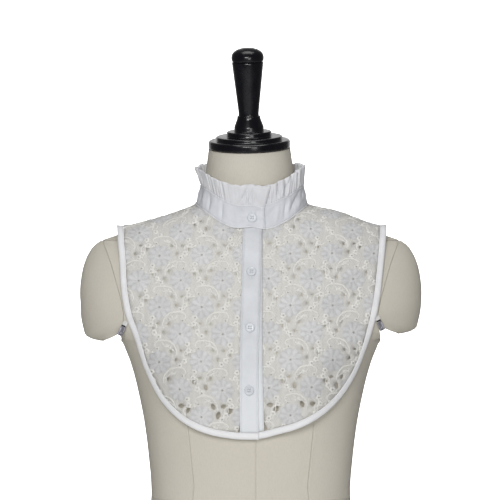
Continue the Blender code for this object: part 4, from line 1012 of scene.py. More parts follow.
class Finish:
    """One material: constants on the shader's own sockets, and what varies from a few kinds of node."""

    def __init__(self, name, colour, roughness, **constants):
        self.material = bpy.data.materials.new(name)
        self.material.use_nodes = True
        self.tree = self.material.node_tree
        self.shader = self.tree.nodes["Principled BSDF"]
        self.material.diffuse_color = (*colour, 1.0)
        self.shader.inputs["Base Color"].default_value = (*colour, 1.0)
        self.shader.inputs["Roughness"].default_value = roughness
        for key, value in constants.items():
            self.shader.inputs[key.replace("_", " ")].default_value = value

    def node(self, kind, settings, *values, out=0, **named):
        """One node: its settings, then the values or links of its sockets, in order or by name."""
        made = self.tree.nodes.new(kind)
        for key, value in settings.items():
            setattr(made, key, value)
        pairs = list(zip(made.inputs, values))
        pairs += [(made.inputs[key.replace("_", " ")], value) for key, value in named.items()]
        for socket, value in pairs:
            if isinstance(value, Value):
                self.tree.links.new(value.socket, socket)
            elif value is not None:
                socket.default_value = value
        return Value(self, made.outputs[out])

    def feed(self, socket, value):
        """Joins a value to one of the shader's sockets."""
        self.tree.links.new(value.socket, self.shader.inputs[socket])

    def place(self):
        """The point's own place on the object, in metres."""
        return self.node("ShaderNodeTexCoord", {}, out=3)

    def map_of(self, name):
        """The two directions of one of the piece's own maps."""
        spot = self.node("ShaderNodeUVMap", {"uv_map": name})
        apart = self.node("ShaderNodeSeparateXYZ", {}, spot)
        return apart, Value(self, apart.socket.node.outputs[1])

    def axes(self, vector):
        """The three parts of a vector."""
        apart = self.node("ShaderNodeSeparateXYZ", {}, vector)
        return [Value(self, socket) for socket in apart.socket.node.outputs]

    def mark(self, name):
        """A named value of the piece's points."""
        return self.node("ShaderNodeAttribute", {"attribute_name": name}, out=2)

    def noise(self, vector, scale, detail=3.0, roughness=0.55):
        """Soft noise from 0 to 1."""
        named = {"Vector": vector, "Scale": scale, "Detail": detail, "Roughness": roughness}
        return self.node("ShaderNodeTexNoise", {}, **named)

    def grain(self, vector, scales, detail, roughness=0.55):
        """Noise with a scale of its own along each axis."""
        stretched = self.node("ShaderNodeMapping", {}, Vector=vector, Scale=scales)
        return self.noise(stretched, 1.0, detail, roughness)

    def step(self, value, low, high, start=0.0, end=1.0):
        """An easy slope from start to end while the value runs from low to high."""
        settings = {"interpolation_type": "SMOOTHSTEP"}
        return self.node("ShaderNodeMapRange", settings, value, low, high, start, end)

    def mix(self, share, first, second):
        """From the first colour to the second."""
        first, second = ((*c, 1.0) if isinstance(c, tuple) else c for c in (first, second))
        unused = [None] * 5
        return self.node("ShaderNodeMix", {"data_type": "RGBA"}, share, *unused, first, second, out=2)

    def bump(self, height, distance, strength=1.0):
        """Gives the surface a relief of this height, in units of distance."""
        named = {"Strength": strength, "Distance": distance, "Height": height}
        self.feed("Normal", self.node("ShaderNodeBump", {}, **named))


def tinted(colour, by):
    """A colour made darker or paler by a factor."""
    return tuple(min(1.0, c * by) for c in colour)


def weave(finish, u, v, pitch):
    """A plain weave's relief: |sin| ridges of two sets of threads, each on top in every second square."""
    warp, weft = (u * (math.pi / pitch)).wave(), (v * (math.pi / pitch)).wave()
    over = finish.step(warp * weft, -0.12, 0.12)
    return abs(warp) * over + abs(weft) * (1 - over)


def canvas_finish():
    """Unbleached canvas: plain weave, slubs, faint soiling, and the form's own seams as sunk lines."""
    f = Finish("canvas", (0.66, 0.625, 0.545), 0.88, Specular_IOR_Level=0.25)
    place = f.place()
    x, y, z = f.axes(place)
    u, v = f.map_of("laid")
    cloud = f.noise(place, 9.0, 4.0)
    slub = f.grain(place, (900.0, 900.0, 260.0), 2.0)
    front = f.step(y, -0.02, 0.02, 1.0, 0.0)
    side_seam = abs(abs(x) - (0.0700 + 0.10 * abs(z - 0.235)))
    middle_seam = abs(x - 0.006 * front)
    seam = f.step(side_seam.least(middle_seam), 0.0003, 0.0011, 1.0, 0.0)
    waist = f.step(abs(z - 0.2165), 0.0003, 0.0011, 1.0, 0.0)
    neck_seam = f.step(abs(z - 0.5930 + y * 0.18), 0.0003, 0.0010, 1.0, 0.0)
    low = f.step(z, 0.560, 0.575, 1.0, 0.0)
    line = (seam * low).most(waist).most(neck_seam)
    tone = f.mix(cloud, (0.635, 0.60, 0.52), (0.685, 0.652, 0.572))
    tone = f.mix(f.step(slub, 0.35, 0.75) * 0.35, tone, (0.58, 0.54, 0.455))
    f.feed("Base Color", f.mix(line * 0.20, tone, (0.40, 0.37, 0.30)))
    f.feed("Roughness", f.step(cloud, 0.2, 0.8, 0.82, 0.93))
    pucker = f.grain(place, (40.0, 40.0, 260.0), 1.0)
    near = f.step(side_seam.least(middle_seam), 0.0, 0.007, 1.0, 0.0) * low
    f.bump(weave(f, u, v, 0.00075) * 0.16 + slub * 0.12 - line * 1.1 + pucker * near * 1.3, 0.0006, 0.75)
    return f.material


def cotton_finish(name, colour, stitch_line, pitch=0.0024):
    """White poplin, with painted light that makes it paler toward the hem, and a row of dashed stitches at
    stitch_line from its edge, in a furrow darkened by painted shade.
    """
    f = Finish(name, colour, 0.82, Specular_IOR_Level=0.3, Sheen_Weight=0.12, Sheen_Roughness=0.4)
    place = f.place()
    z = f.axes(place)[2]
    u, v = f.map_of("laid")
    along, edge = f.map_of("sewn")
    rumple = f.noise(place, 55.0, 4.0, 0.6)
    thread = f.grain(place, (700.0, 700.0, 2400.0), 2.0)
    beside = abs(edge - stitch_line)
    dash = f.step(abs(along.remainder(pitch) - pitch / 2), pitch * 0.36, pitch * 0.44, 1.0, 0.0)
    stitch = f.step(beside, 0.00018, 0.00034, 1.0, 0.0) * dash
    # The furrow beside each stitch line is sunk in the bump and also painted darker: painted shade.
    furrow_and_shade = f.step(beside, 0.0002, 0.0016, 1.0, 0.0)
    # Painted light: below a height of 0.425 m the colour is mixed paler, most at the hem.
    hem = tuple(max(c, min(HEM_PAINTED_LIGHT_MOST, paler)) for c, paler in zip(colour, tinted(colour, 1.16)))
    tone = f.mix(f.step(rumple, 0.3, 0.7), tinted(colour, 0.94), tinted(colour, 1.03))
    tone = f.mix(thread * 0.10, tone, tinted(colour, 0.84))
    tone = f.mix(furrow_and_shade * (1 - stitch) * 0.22, tone, tinted(colour, 0.72))
    tone = f.mix(f.step(z, 0.425, 0.33, 0.0, 0.8), tone, hem)
    f.feed("Base Color", f.mix(stitch * 0.6, tone, tinted(colour, 1.1)))
    f.feed("Roughness", f.step(rumple, 0.2, 0.8, 0.76, 0.88))
    pucker = (along * (2 * math.pi / 0.0052) + rumple * 9.0).wave() * f.step(beside, 0.0, 0.0030, 1.0, 0.0)
    relief = weave(f, u, v, 0.00032) * 0.08 + rumple * 0.9 + thread * 0.1
    f.bump(relief + stitch * 0.7 - furrow_and_shade * 0.5 + pucker * 0.22, 0.0005, 0.8)
    return f.material


def net_finish():
    """Cotton net: threads round six-sided holes, where cos a + cos b + cos c of three waves is high."""
    f = Finish("lace_net", (0.70, 0.69, 0.655), 0.9, Specular_IOR_Level=0.2)
    u, v = f.map_of("laid")
    turn = 2 * math.pi / NET_CELL
    a = (u * turn + math.pi / 2).wave()
    b = (u * (-turn / 2) + v * (turn * 0.866) + math.pi / 2).wave()
    c = (u * (-turn / 2) - v * (turn * 0.866) + math.pi / 2).wave()
    total = a + b + c
    place = f.place()
    worn = f.noise(place, 30.0, 3.0)
    hole = f.step(total + worn * 0.5, 0.42, 0.85)
    f.feed("Alpha", 1 - hole * 0.8)
    f.feed("Base Color", f.mix(worn, (0.735, 0.722, 0.682), (0.825, 0.815, 0.785)))
    f.bump(total * -0.2 + worn * 0.2, 0.0004, 0.6)
    return f.material


def stitch_finish():
    """Raised embroidery: cool white petals and cream cords, both of fine threads laid side by side, with
    painted shade darkening the flowers' sunk eyes and the grooves and rims of their petals.
    """
    f = Finish("embroidery", (0.76, 0.77, 0.78), 0.7, Specular_IOR_Level=0.35, Sheen_Weight=0.15)
    threads = f.map_of("thread")[0]
    cream, eye = f.mark("cream"), f.mark("eye")
    place = f.place()
    cloud = f.noise(place, 42.0, 4.0, 0.6)
    ridge = abs((threads * math.pi).wave())
    petal = f.mix(f.step(cloud, 0.3, 0.7), (0.70, 0.703, 0.713), (0.80, 0.802, 0.81))
    petal = f.mix(ridge * 0.16, petal, (0.85, 0.853, 0.86))
    cord = f.mix(cloud, (0.77, 0.76, 0.72), (0.85, 0.84, 0.805))
    tone = f.mix(cream, petal, cord)
    # Painted shade: the eye mark darkens the sunk eyes and the petals' grooves and rims.
    f.feed("Base Color", f.mix(eye, tone, (0.20, 0.19, 0.18)))
    f.feed("Roughness", f.step(ridge, 0.0, 1.0, 0.8, 0.62))
    f.feed("Alpha", 1 - (1 - cream) * f.step(ridge + cloud * 0.4, 0.25, 0.7, 0.5, 0.0))
    f.bump(ridge * 0.5 + cloud * 0.4, 0.0003, 0.8)
    return f.material


def lacquer_finish():
    """Black satin lacquer over turned wood: faint grain in the coat, dust in its colour and gloss."""
    f = Finish("lacquer", (0.009, 0.009, 0.012), 0.3, Specular_IOR_Level=0.22, Coat_Roughness=0.13)
    place = f.place()
    grain = f.grain(place, (160.0, 160.0, 22.0), 4.0, 0.6)
    dust = f.noise(place, 70.0, 5.0, 0.65)
    f.feed("Base Color", f.mix(f.step(dust, 0.5, 0.8), (0.0025, 0.0025, 0.005), (0.008, 0.008, 0.013)))
    f.feed("Roughness", f.step(dust, 0.25, 0.75, 0.20, 0.34))
    f.feed("Coat Weight", f.step(grain, 0.3, 0.7, 0.35, 0.55))
    f.bump(grain * 0.6 + dust * 0.15, 0.00025, 0.5)
    return f.material


def board_finish():
    """Painted board: brushed black paint, worn to grey where it rubs the table."""
    f = Finish("painted_board", (0.020, 0.020, 0.022), 0.5)
    place = f.place()
    z = f.axes(place)[2]
    brush = f.grain(place, (12.0, 180.0, 12.0), 4.0)
    worn = f.step(z + brush * 0.004, 0.0, 0.0045, 1.0, 0.0)
    f.feed("Base Color", f.mix(worn * brush, (0.018, 0.018, 0.020), (0.12, 0.11, 0.10)))
    f.feed("Roughness", f.step(brush, 0.2, 0.8, 0.4, 0.62))
    f.bump(brush, 0.0003, 0.5)
    return f.material


def steel_finish():
    """Pressed steel with a violet-grey plating, brushed along its length and dulled in patches."""
    f = Finish("catch_steel", (0.50, 0.49, 0.54), 0.36)
    place = f.place()
    brush = f.grain(place, (1500.0, 1500.0, 90.0), 2.0)
    dull = f.noise(place, 240.0, 3.0)
    f.feed("Base Color", f.mix(dull, (0.40, 0.39, 0.44), (0.58, 0.57, 0.62)))
    f.feed("Metallic", f.step(dull, 0.3, 0.8, 0.85, 0.55))
    f.feed("Roughness", f.step(brush, 0.2, 0.8, 0.28, 0.48))
    f.bump(brush, 0.0001, 0.4)
    return f.material


def tab_finish():
    """White plastic with slight yellowing and fine scratches."""
    f = Finish("catch_tab", (0.80, 0.80, 0.80), 0.35)
    place = f.place()
    patch = f.noise(place, 120.0, 3.0)
    f.feed("Base Color", f.mix(patch, (0.72, 0.71, 0.68), (0.86, 0.86, 0.86)))
    f.feed("Roughness", f.step(f.noise(place, 900.0, 2.0), 0.3, 0.7, 0.3, 0.5))
    f.bump(patch, 0.0001, 0.3)
    return f.material


def button_finish():
    """Pearly white plastic: cloudy bands under the gloss, and painted shade darkening the holes, which are
    dips in the top.
    """
    f = Finish("button_pearl", (0.80, 0.81, 0.83), 0.28, Coat_Roughness=0.1)
    place = f.place()
    hole = f.mark("hole")
    cloud = f.grain(place, (300.0, 300.0, 700.0), 4.0)
    pearl = f.mix(f.step(cloud, 0.3, 0.7), (0.59, 0.615, 0.655), (0.66, 0.685, 0.72))
    # Painted shade: the hole mark darkens the dips of the holes.
    f.feed("Base Color", f.mix(hole * 0.55, pearl, (0.22, 0.23, 0.25)))
    f.feed("Roughness", f.step(cloud, 0.2, 0.8, 0.34, 0.48))
    f.feed("Coat Weight", f.step(cloud, 0.2, 0.8, 0.05, 0.2))
    f.bump(cloud, 0.00008, 0.4)
    return f.material


def floor_finish():
    """Pale studio floor with a faint mottle."""
    f = Finish("studio_floor", (0.82, 0.82, 0.81), 0.85)
    cloud = f.noise(f.place(), 4.0, 4.0)
    f.feed("Base Color", f.mix(cloud, (0.80, 0.80, 0.79), (0.85, 0.85, 0.845)))
    return f.material


def add_form(finish):
    """The dress form's torso and shoulder caps, each a stack of sections."""
    for name, sections, nodes in (
        ("form_torso", form_sections(), ("torso",)),
        ("form_cap_right", cap_sections(-1)[:, ::-1], ("shoulder_cap_right",)),
        ("form_cap_left", cap_sections(1), ("shoulder_cap_left",)),
    ):
        u, v = lay_length(np.swapaxes(sections, 0, 1))
        laid = np.stack([u.T, v.T], axis=-1).reshape(-1, 2) * MM
        faces = ring_faces(*sections.shape[:2])
        add_piece(name, sections.reshape(-1, 3), faces, finish, "canvas", nodes, {"laid": laid}, sharp=38)


def rounded(profile, passes=2, cut=0.13):
    """A profile with its corners cut by this share of each side, passes times over."""
    line = np.array(profile, float)
    for _ in range(passes):
        a, b = line[:-1], line[1:]
        middle = np.stack([a + (b - a) * cut, b + (a - b) * cut], axis=1).reshape(-1, 2)
        line = np.concatenate([line[:1], middle, line[-1:]])
    return line


def seated(points, seat):
    """Points in millimetres set by a matrix in metres."""
    return (points * MM @ np.array(seat.to_3x3()).T + np.array(seat.translation)) / MM


def pole_faces(levels, count):
    """Faces of a stack of rings closed by two poles, which are the last two points."""
    first, j = levels * count, np.arange(count)
    head = first - count
    faces = ring_faces(levels, count)[:-2]
    faces += np.column_stack([(j + 1) % count, j, np.full(count, first)]).tolist()
    return faces + np.column_stack([head + j, head + (j + 1) % count, np.full(count, first + 1)]).tolist()


def turned(profile, columns, seat):
    """A profile (r, h) spun round its axis: (r cos t, r sin t, h), set by a matrix. Both ends are poles."""
    turn = circle(columns)
    r, h = profile[1:-1, 0][:, None], profile[1:-1, 1][:, None]
    rings = np.stack([r * np.cos(turn), r * np.sin(turn), h + 0 * turn], axis=-1).reshape(-1, 3)
    points = np.concatenate([rings, [(0, 0, profile[0, 1]), (0, 0, profile[-1, 1])]])
    return seated(points, seat), pole_faces(len(profile) - 2, columns)


def add_knob(finish):
    """The neck cap: three stepped discs under a flared handle with a domed top."""
    top = form_sections()[-1].mean(axis=0)
    up = Vector((-math.tan(-NECK_ROLL), -math.tan(NECK_TILT), 1.0)).normalized()
    seat = facing_matrix(top + np.array(up) * SEAM_GAP, up)
    profile = rounded(((0.0, 0.0),) + KNOB_PROFILE)
    points, faces = turned(profile, 144, seat)
    add_piece("form_neck_cap", points, faces, finish, "lacquer", ("neck_cap",), sharp=50)


def soft_box(size, middle, turn, power=8.0):
    """A box with rounded edges: the unit sphere's points pushed to |x|^p + |y|^p + |z|^p = 1 and scaled."""
    levels, columns = 17, 36
    rise = np.linspace(-math.pi / 2, math.pi / 2, levels + 2)[1:-1]
    a, b = np.meshgrid(rise, circle(columns), indexing="ij")
    ball = np.stack([np.cos(a) * np.cos(b), np.cos(a) * np.sin(b), np.sin(a)], axis=-1).reshape(-1, 3)
    ball = np.concatenate([ball, [(0, 0, -1), (0, 0, 1)]])
    ball = ball / (np.abs(ball) ** power).sum(axis=1, keepdims=True) ** (1 / power)
    return ball * np.array(size) / 2 @ np.array(turn).T + middle, pole_faces(levels, columns)


def joined(parts):
    """Several lists of points and faces as one."""
    points, faces, start = [], [], 0
    for spots, sides in parts:
        points.append(spots)
        faces += [[corner + start for corner in face] for face in sides]
        start += len(spots)
    return np.concatenate(points), faces


def add_latches(steel, plastic, dark):
    """The catches under the caps: a steel plate with a rolled edge, a white tab, and between them a black
    lacquer box that is painted shade for the slot.
    """
    for name, side in (("right", -1), ("left", 1)):
        x, y, z = LATCH_MIDDLE[name]
        x -= LEFT_LATCH_SHIFT * (side > 0)
        turn = Matrix.Rotation(LATCH_LEAN * side, 3, "Y") @ Matrix.Rotation(LATCH_TURN * side, 3, "Z")
        middle = np.array([side * x, y, z])
        axes = np.array(turn)
        plate = [
            soft_box((7.4, 1.3, 11.0), middle + axes @ (0, 0.3, -3.4), turn),
            soft_box((7.8, 2.6, 2.2), middle + axes @ (0, -0.2, 2.2), turn, power=4.0),
            soft_box((1.2, 2.2, 10.0), middle + axes @ (-3.1, -0.1, -3.6), turn),
            soft_box((1.2, 2.2, 10.0), middle + axes @ (3.1, -0.1, -3.6), turn),
            soft_box((3.0, 2.2, 3.0), middle + axes @ (0, -0.1, -5.4), turn, power=2.6),
        ]
        tab = [
            soft_box((7.4, 2.2, 6.6), middle + axes @ (0.3, 0.0, 7.4), turn, power=4.0),
            soft_box((5.6, 2.4, 0.9), middle + axes @ (0.2, -0.2, 5.6), turn, power=4.0),
        ]
        # Painted shade: a black box stands in for the shadowed slot between plate and tab.
        slot = [soft_box((6.6, 1.5, 2.0), middle + axes @ (0.0, -0.45, 3.9), turn, power=5.0)]
        add_piece(f"catch_plate_{name}", *joined(plate), steel, "latch", (f"latch_{name}",), sharp=60)
        add_piece(f"catch_tab_{name}", *joined(tab), plastic, "latch", sharp=60)
        add_piece(f"catch_slot_shade_{name}", *joined(slot), dark, "latch", sharp=60)


def cord_patch(path, width, height, count):
    """A stitched cord: a half-round ridge carried along a smooth path, tapered at its ends."""
    spots = np.array(path, float)
    chord = np.concatenate([[0], np.cumsum(np.hypot(*np.diff(spots, axis=0).T))])
    line = rows(np.column_stack([chord, spots]), np.linspace(0, chord[-1], count))
    way = np.gradient(line, axis=0)
    way /= np.linalg.norm(way, axis=1, keepdims=True)
    beside = np.column_stack([-way[:, 1], way[:, 0]])
    share = np.linspace(0, 1, count)
    taper = 0.45 + 0.55 * np.sin(math.pi * np.clip(share, 0.02, 0.98)) ** 0.5
    across = np.array([-1.0, -0.62, 0.0, 0.62, 1.0])
    up = np.array([0.0, 0.78, 1.0, 0.78, 0.0])
    flat = line[:, None] + beside[:, None] * (across[:, None] * width / 2 * taper[:, None, None])
    points = np.dstack([flat, up * height * taper[:, None]]).reshape(-1, 3)
    turns = np.linspace(0, chord[-1], count) / THREAD_PITCH
    thread = np.column_stack([np.repeat(turns, len(across)), np.tile(across, count)])
    faces = grid_faces(count, len(across))[:, ::-1]
    return points, faces, np.ones(len(points)), np.zeros(len(points)), thread


def round_patch(middle, radius, petals, rings, columns, height, cream, eye, dip, turn=0.0, threads=0):
    """A petalled dome: radius R (1 - dip + dip |cos(n t / 2)|^0.6), sunk between petals and at its eye. Its
    sunk share, returned as the eye mark, is painted as shade.
    """
    r, t = np.linspace(0.0, 1.0, rings), np.linspace(0, 2 * math.pi, columns + 1)
    r, t = np.meshgrid(r, t, indexing="ij")
    lobe = np.abs(np.cos(petals * (t + turn) / 2)) ** 0.6 if petals else np.ones_like(t)
    reach = radius * (1 - dip + dip * lobe) * r
    groove = (1 - lobe) * smooth((r - 0.15) / 0.4) * 0.85
    dome = np.sqrt(np.maximum(1 - r**6, 0.0)) * (1 - groove)
    ring = np.exp(-(((reach - eye * 1.9) / (eye * 0.7 + 1e-6)) ** 2)) * 0.5 if eye else 0.0
    sunk = np.exp(-((reach / (eye + 1e-6)) ** 4)) if eye else np.zeros_like(r)
    up = height * (dome * (1 + ring) * (1 - 0.75 * sunk))
    points = np.stack([middle[0] + reach * np.cos(t), middle[1] + reach * np.sin(t), up], axis=-1)
    shade = np.full_like(r, cream)
    if eye and not cream:
        shade = np.exp(-(((reach - eye * 1.9) / (eye * 0.8)) ** 2)) * 0.5
        # Painted shade: the grooves between the petals and the petals' rims join the darkened share.
        sunk = sunk + 0.30 * (1 - lobe) * smooth((r - 0.25) / 0.4) + 0.16 * smooth((r - 0.75) / 0.25)
    thread = np.stack([t / (2 * math.pi) * (threads or columns), r], axis=-1).reshape(-1, 2)
    faces = grid_faces(rings, columns + 1)
    return points.reshape(-1, 3), faces, shade.ravel(), sunk.ravel(), thread


def motif():
    """One flower with its arch, stems, blossoms and dots: points with height, faces, marks, threads."""
    parts = [round_patch((0, 0), FLOWER_RADIUS, PETALS, 9, 72, PETAL_HEIGHT, 0.0, 1.3, 0.24, 0.3, 150)]
    parts.append(cord_patch(ARCH, 1.8, CORD_HEIGHT, count=26))
    parts += [cord_patch(stem, 1.2, CORD_HEIGHT * 0.8, count=10) for stem in STEMS]
    top = CORD_HEIGHT + 0.1
    parts += [round_patch((a, b), r, 5, 5, 25, top, 1.0, 0.8, 0.38, a) for a, b, r in BLOSSOMS]
    parts += [round_patch((a, b), r, 0, 3, 8, CORD_HEIGHT, 1.0, 0.0, 0.0) for a, b, r in DOTS]
    start, columns = 0, [[], [], [], [], []]
    for points, faces, cream, eye, thread in parts:
        for column, values in zip(columns, (points, faces + start, cream, eye, thread)):
            column.append(values)
        start += len(points)
    return [np.concatenate(column) for column in columns]


def held_inside(outline, spots):
    """The spots with those outside the outline moved to its nearest point, and which ones were moved."""
    out = ~inside(outline, spots)
    if not out.any():
        return spots, out
    near, distance = nearest_points(outline, spots[out])
    nearest = distance.argmin(axis=1)
    moved = spots.copy()
    moved[out] = near[np.arange(len(nearest)), nearest]
    return moved, out


def add_embroidery(name, cloth, outline, origin, finish, chance):
    """The motif set on a half-drop lattice over a panel, cut off at the panel's edge."""
    shape, faces, cream, eye, thread = motif()
    points, sides, marks, start = [], [], [[], [], []], 0
    for flower, mirror in lattice(outline, origin):
        angle, grow = chance.uniform(-0.05, 0.05), chance.uniform(0.96, 1.04)
        turned_shape = shape[:, :2] @ (flat_turn(angle) * grow)
        spots = turned_shape * (mirror, 1) + flower + chance.uniform(-0.5, 0.5, 2)
        if not inside(outline, spots[::7]).any():
            continue
        spots, out = held_inside(outline, spots)
        height = shape[:, 2] * np.where(out, 0.3, 1.0)
        keep = ~out[faces].all(axis=1)
        used = faces[keep][:, ::-1] if mirror * -cloth.facing < 0 else faces[keep]
        points.append(cloth.place(spots[:, 0], spots[:, 1], height + NET_GAP))
        sides.append(used + start)
        for column, values in zip(marks, (cream, eye, thread)):
            column.append(values)
        start += len(spots)
    points, sides = np.concatenate(points), np.concatenate(sides)
    used = np.unique(sides)
    renumber = np.zeros(len(points), int)
    renumber[used] = np.arange(len(used))
    cream, eye, thread = (np.concatenate(values)[used] for values in marks)
    # The eye mark carries painted shade into the finish.
    marks = {"cream": cream, "eye": eye}
    return add_piece(name, points[used], renumber[sides], finish, "lace", (), {"thread": thread}, marks)


def add_lace(finishes, chance):
    """The three lace panels: net on the cloth's surface with its gaps cut through, and embroidery on it."""
    made = {}
    for name in ("lace_front_right", "lace_front_left", "lace_back"):
        cloth, outline, flower = panel_outline(name)
        gaps = lace_gaps(outline, flower, GAPS_CUT[name])
        flat, faces = flat_lace(outline, gaps)
        points = cloth.place(flat[:, 0], flat[:, 1])
        faces = faces if cloth.facing < 0 else faces[:, ::-1]
        short = name.replace("lace_", "")
        maps = {"laid": flat * MM}
        piece = add_piece(f"net_{short}", points, faces, finishes["net"], "lace", (name,), maps)
        wall = piece.modifiers.new("wall", "SOLIDIFY")
        wall.thickness, wall.offset = NET_WALL * MM, 0.0
        title = f"embroidery_{short}"
        stitched = add_embroidery(title, cloth, outline, flower, finishes["stitch"], chance)
        size = flat.max(axis=0) - flat.min(axis=0)
        area = area_of(points, faces)
        size = size * MM * max(1.0, math.sqrt(area / (size.prod() * MM * MM)))
        made[name] = (piece, stitched, size, area)
    return made


def binding_grid(cloth, edge, sign, lifted):
    """Points of a binding: lines side by side over its width, bulged as h (1 - |2 w - 1|^3)."""
    share = np.linspace(0, 1, BINDING_LINES)
    widths = np.linspace(0, BINDING_WIDTH, BINDING_LINES)
    loops = np.stack([inset(cloth, edge, width, sign) if width else edge for width in widths], axis=1)
    along = np.arange(len(loops))[:, None]
    bulge = 0.28 * (1 - np.abs(2 * share - 1) ** 3)
    ripple = 0.10 * np.sin(along * 1.9 + 2.2 * np.sin(along * 0.31)) * np.sin(math.pi * share)
    return cloth.place(loops[..., 0], loops[..., 1], lifted(loops[:, 0])[:, None] + bulge + ripple)


def add_bindings(finish):
    """The bias binding round each panel's outer edge."""
    made = {}
    for name, (side, table, _) in FRONT_PANELS.items():
        edge = edge_runs(FRONT, edge_path(table, EDGE_POINTS), side)
        short = name.replace("lace_", "")
        grid = binding_grid(FRONT, edge, -side, lambda edge: binding_lift(short, edge))
        replaced = (f"binding_{short}",)
        made[name] = add_cloth(f"bias_{short}", grid, BINDING_WALL, finish, "cotton", replaced, FORWARD)
    whole = np.concatenate([back_edge(-1), back_edge(1)[-2::-1]])
    grid = binding_grid(BACK, whole, 1, lambda edge: np.zeros(len(edge)))
    replaced = ("binding_back",)
    made["lace_back"] = add_cloth("bias_back", grid, BINDING_WALL, finish, "cotton", replaced, -FORWARD)
    return made


def add_plackets(top_finish, under_finish):
    """The two plackets, hung down the front, the top one with slight ripples between its stitch lines."""
    half, middle = PLACKET_WIDTH / 2, PLACKET_MIDDLE[0][1]
    foot = foot_line_of("front_right", RIGHT_FRONT_EDGE, -1, middle - half, middle + half)
    over = strip_down(shifted(PLACKET_MIDDLE, -half), shifted(PLACKET_MIDDLE, half), foot, placket_lift)
    share = np.linspace(-1, 1, PLACKET_COLUMNS)
    down = np.linspace(0, 1, PLACKET_ROWS)[:, None]
    ripple = 0.16 * np.sin(down * 71 + 1.4 * np.sin(down * 23) + share * 1.3) * (1 - share**2)
    ripple = ripple + 0.22 * np.sin(down * 19 + 0.8 + share * 0.7) * (1 - share**4) * smooth(down * 8)
    over[..., 1] -= ripple * smooth((1 - down) * 10)
    top = add_cloth(
        "button_placket", over, PLACKET_WALL, top_finish, "cotton", ("placket_top",), FORWARD, welt=0.10
    )
    foot = foot_line_of("front_left", LEFT_FRONT_EDGE, 1, middle - UNDER_HIDDEN, UNDER_REACH[0][1])
    hidden, seen = shifted(PLACKET_MIDDLE, -UNDER_HIDDEN), shifted(UNDER_REACH, 0.0)
    under = strip_down(hidden, seen, foot, np.zeros_like)
    low = add_cloth(
        "under_placket", under, LACE_WALL, under_finish, "cotton", ("placket_under",), FORWARD
    )
    return (top, over), (low, under)


def from_neck(grid):
    """The level way to each point from the neck's axis."""
    return grid * (1, 1, 0) - NECK_AXIS


def pushed(grid, by):
    """A grid of points moved along its own outward normals, away from the neck's middle."""
    normals = grid_normals(grid)
    normals = normals * np.sign((normals * from_neck(grid)).sum(axis=-1, keepdims=True))
    return grid + normals * by[..., None]


def add_band(finish):
    """The collar band with its creases: its points pushed out by the creases, less so along its edges."""
    levels, share = np.linspace(0, 1, BAND_LEVELS), np.linspace(0, 1, BAND_COLUMNS)
    levels, share = np.meshgrid(levels, share, indexing="ij")
    angles = OVER_END + (UNDER_END - OVER_END) * share
    hold = np.sin(math.pi * np.clip(levels, 0.0, 1.0)) ** 0.6
    raised = BAND_DEPTH * crease(angles, levels, BAND_CREASES, BAND_REACH, BAND_WIDEN) * hold
    raised += 0.12 * np.sin(angles * 61 + 2 * np.sin(angles * 9)) * hold
    lap = smooth((angles - WELT_END) / math.radians(12))
    raised = np.where(angles < math.radians(-340), raised * lap, raised)
    band = pushed(collar_points(angles, levels), raised)
    outward = from_neck(band)
    return add_cloth("band", band, BAND_WALL, finish, "cotton", ("collar_band",), outward, welt=0.06), band


def add_ruffle(finish):
    """The ruffle: even gathers behind, and in front fine ones with the listed folds.

    Its points swing in and out by sums of sines of the angle, which fade at the seam and where it laps.
    """
    levels = np.linspace(RUFFLE_FOOT, 2.0, RUFFLE_LEVELS)
    share = np.linspace(0, 1, RUFFLE_WAVES * COLUMNS_A_WAVE + 1)
    levels, share = np.meshgrid(levels, share, indexing="ij")
    end = OVER_END + RUFFLE_FLARE * (levels - 1)
    angles = end + (UNDER_END - end) * share
    degrees = np.degrees(angles)
    front = smooth((degrees + 88) / 40)
    over = np.clip(levels - 1, 0.0, 1.0)
    swing = ruffle_swing(share) * (0.25 + 0.75 * over) * (1 - 0.85 * front)
    fine = 0.30 * np.sin(angles * 118 + 3.0 * np.sin(angles * 13)) * (1.6 - 1.1 * over)
    fine = fine + 0.34 * np.sin(angles * 53 + 2.2 * np.sin(angles * 17 + 1.0)) * smooth(over * 3)
    flat_right, flat_left = np.exp(-(((degrees + 20) / 9) ** 2)), np.exp(-(((degrees - 9) / 8) ** 2))
    fine = fine * (1 - 0.65 * flat_right - 0.6 * flat_left)
    swing = swing + fine * smooth((share - 0.01) / 0.03) * smooth((0.97 - share) / 0.03)
    calm = smooth((share - 0.01) / 0.02) * smooth((0.955 - share) / 0.03)
    folds = RUFFLE_DEPTH * crease(angles, levels, RUFFLE_CREASES, RUFFLE_REACH)
    swing = swing + folds * calm * (0.35 + 0.65 * smooth(over * 3))
    swing = swing * smooth((levels - 0.97) / 0.08) - 0.75 * (1 - smooth((levels - 0.97) / 0.07))
    swing = swing + END_LIFT * np.exp(-((share / 0.016) ** 2)) * over
    grid = collar_points(angles, levels, swing)
    grid[..., 2] += 0.45 * np.sin(angles * 39 + 1.7 * np.sin(angles * 7)) * over**3
    grid[..., 2] += BACK_RAISE * over * smooth((-degrees - 98) / 16) * smooth((262 + degrees) / 16)
    wall = RUFFLE_WALL * 0.85
    return add_cloth("gathered_ruffle", grid, wall, finish, "cotton", ("ruffle",), from_neck(grid)), grid


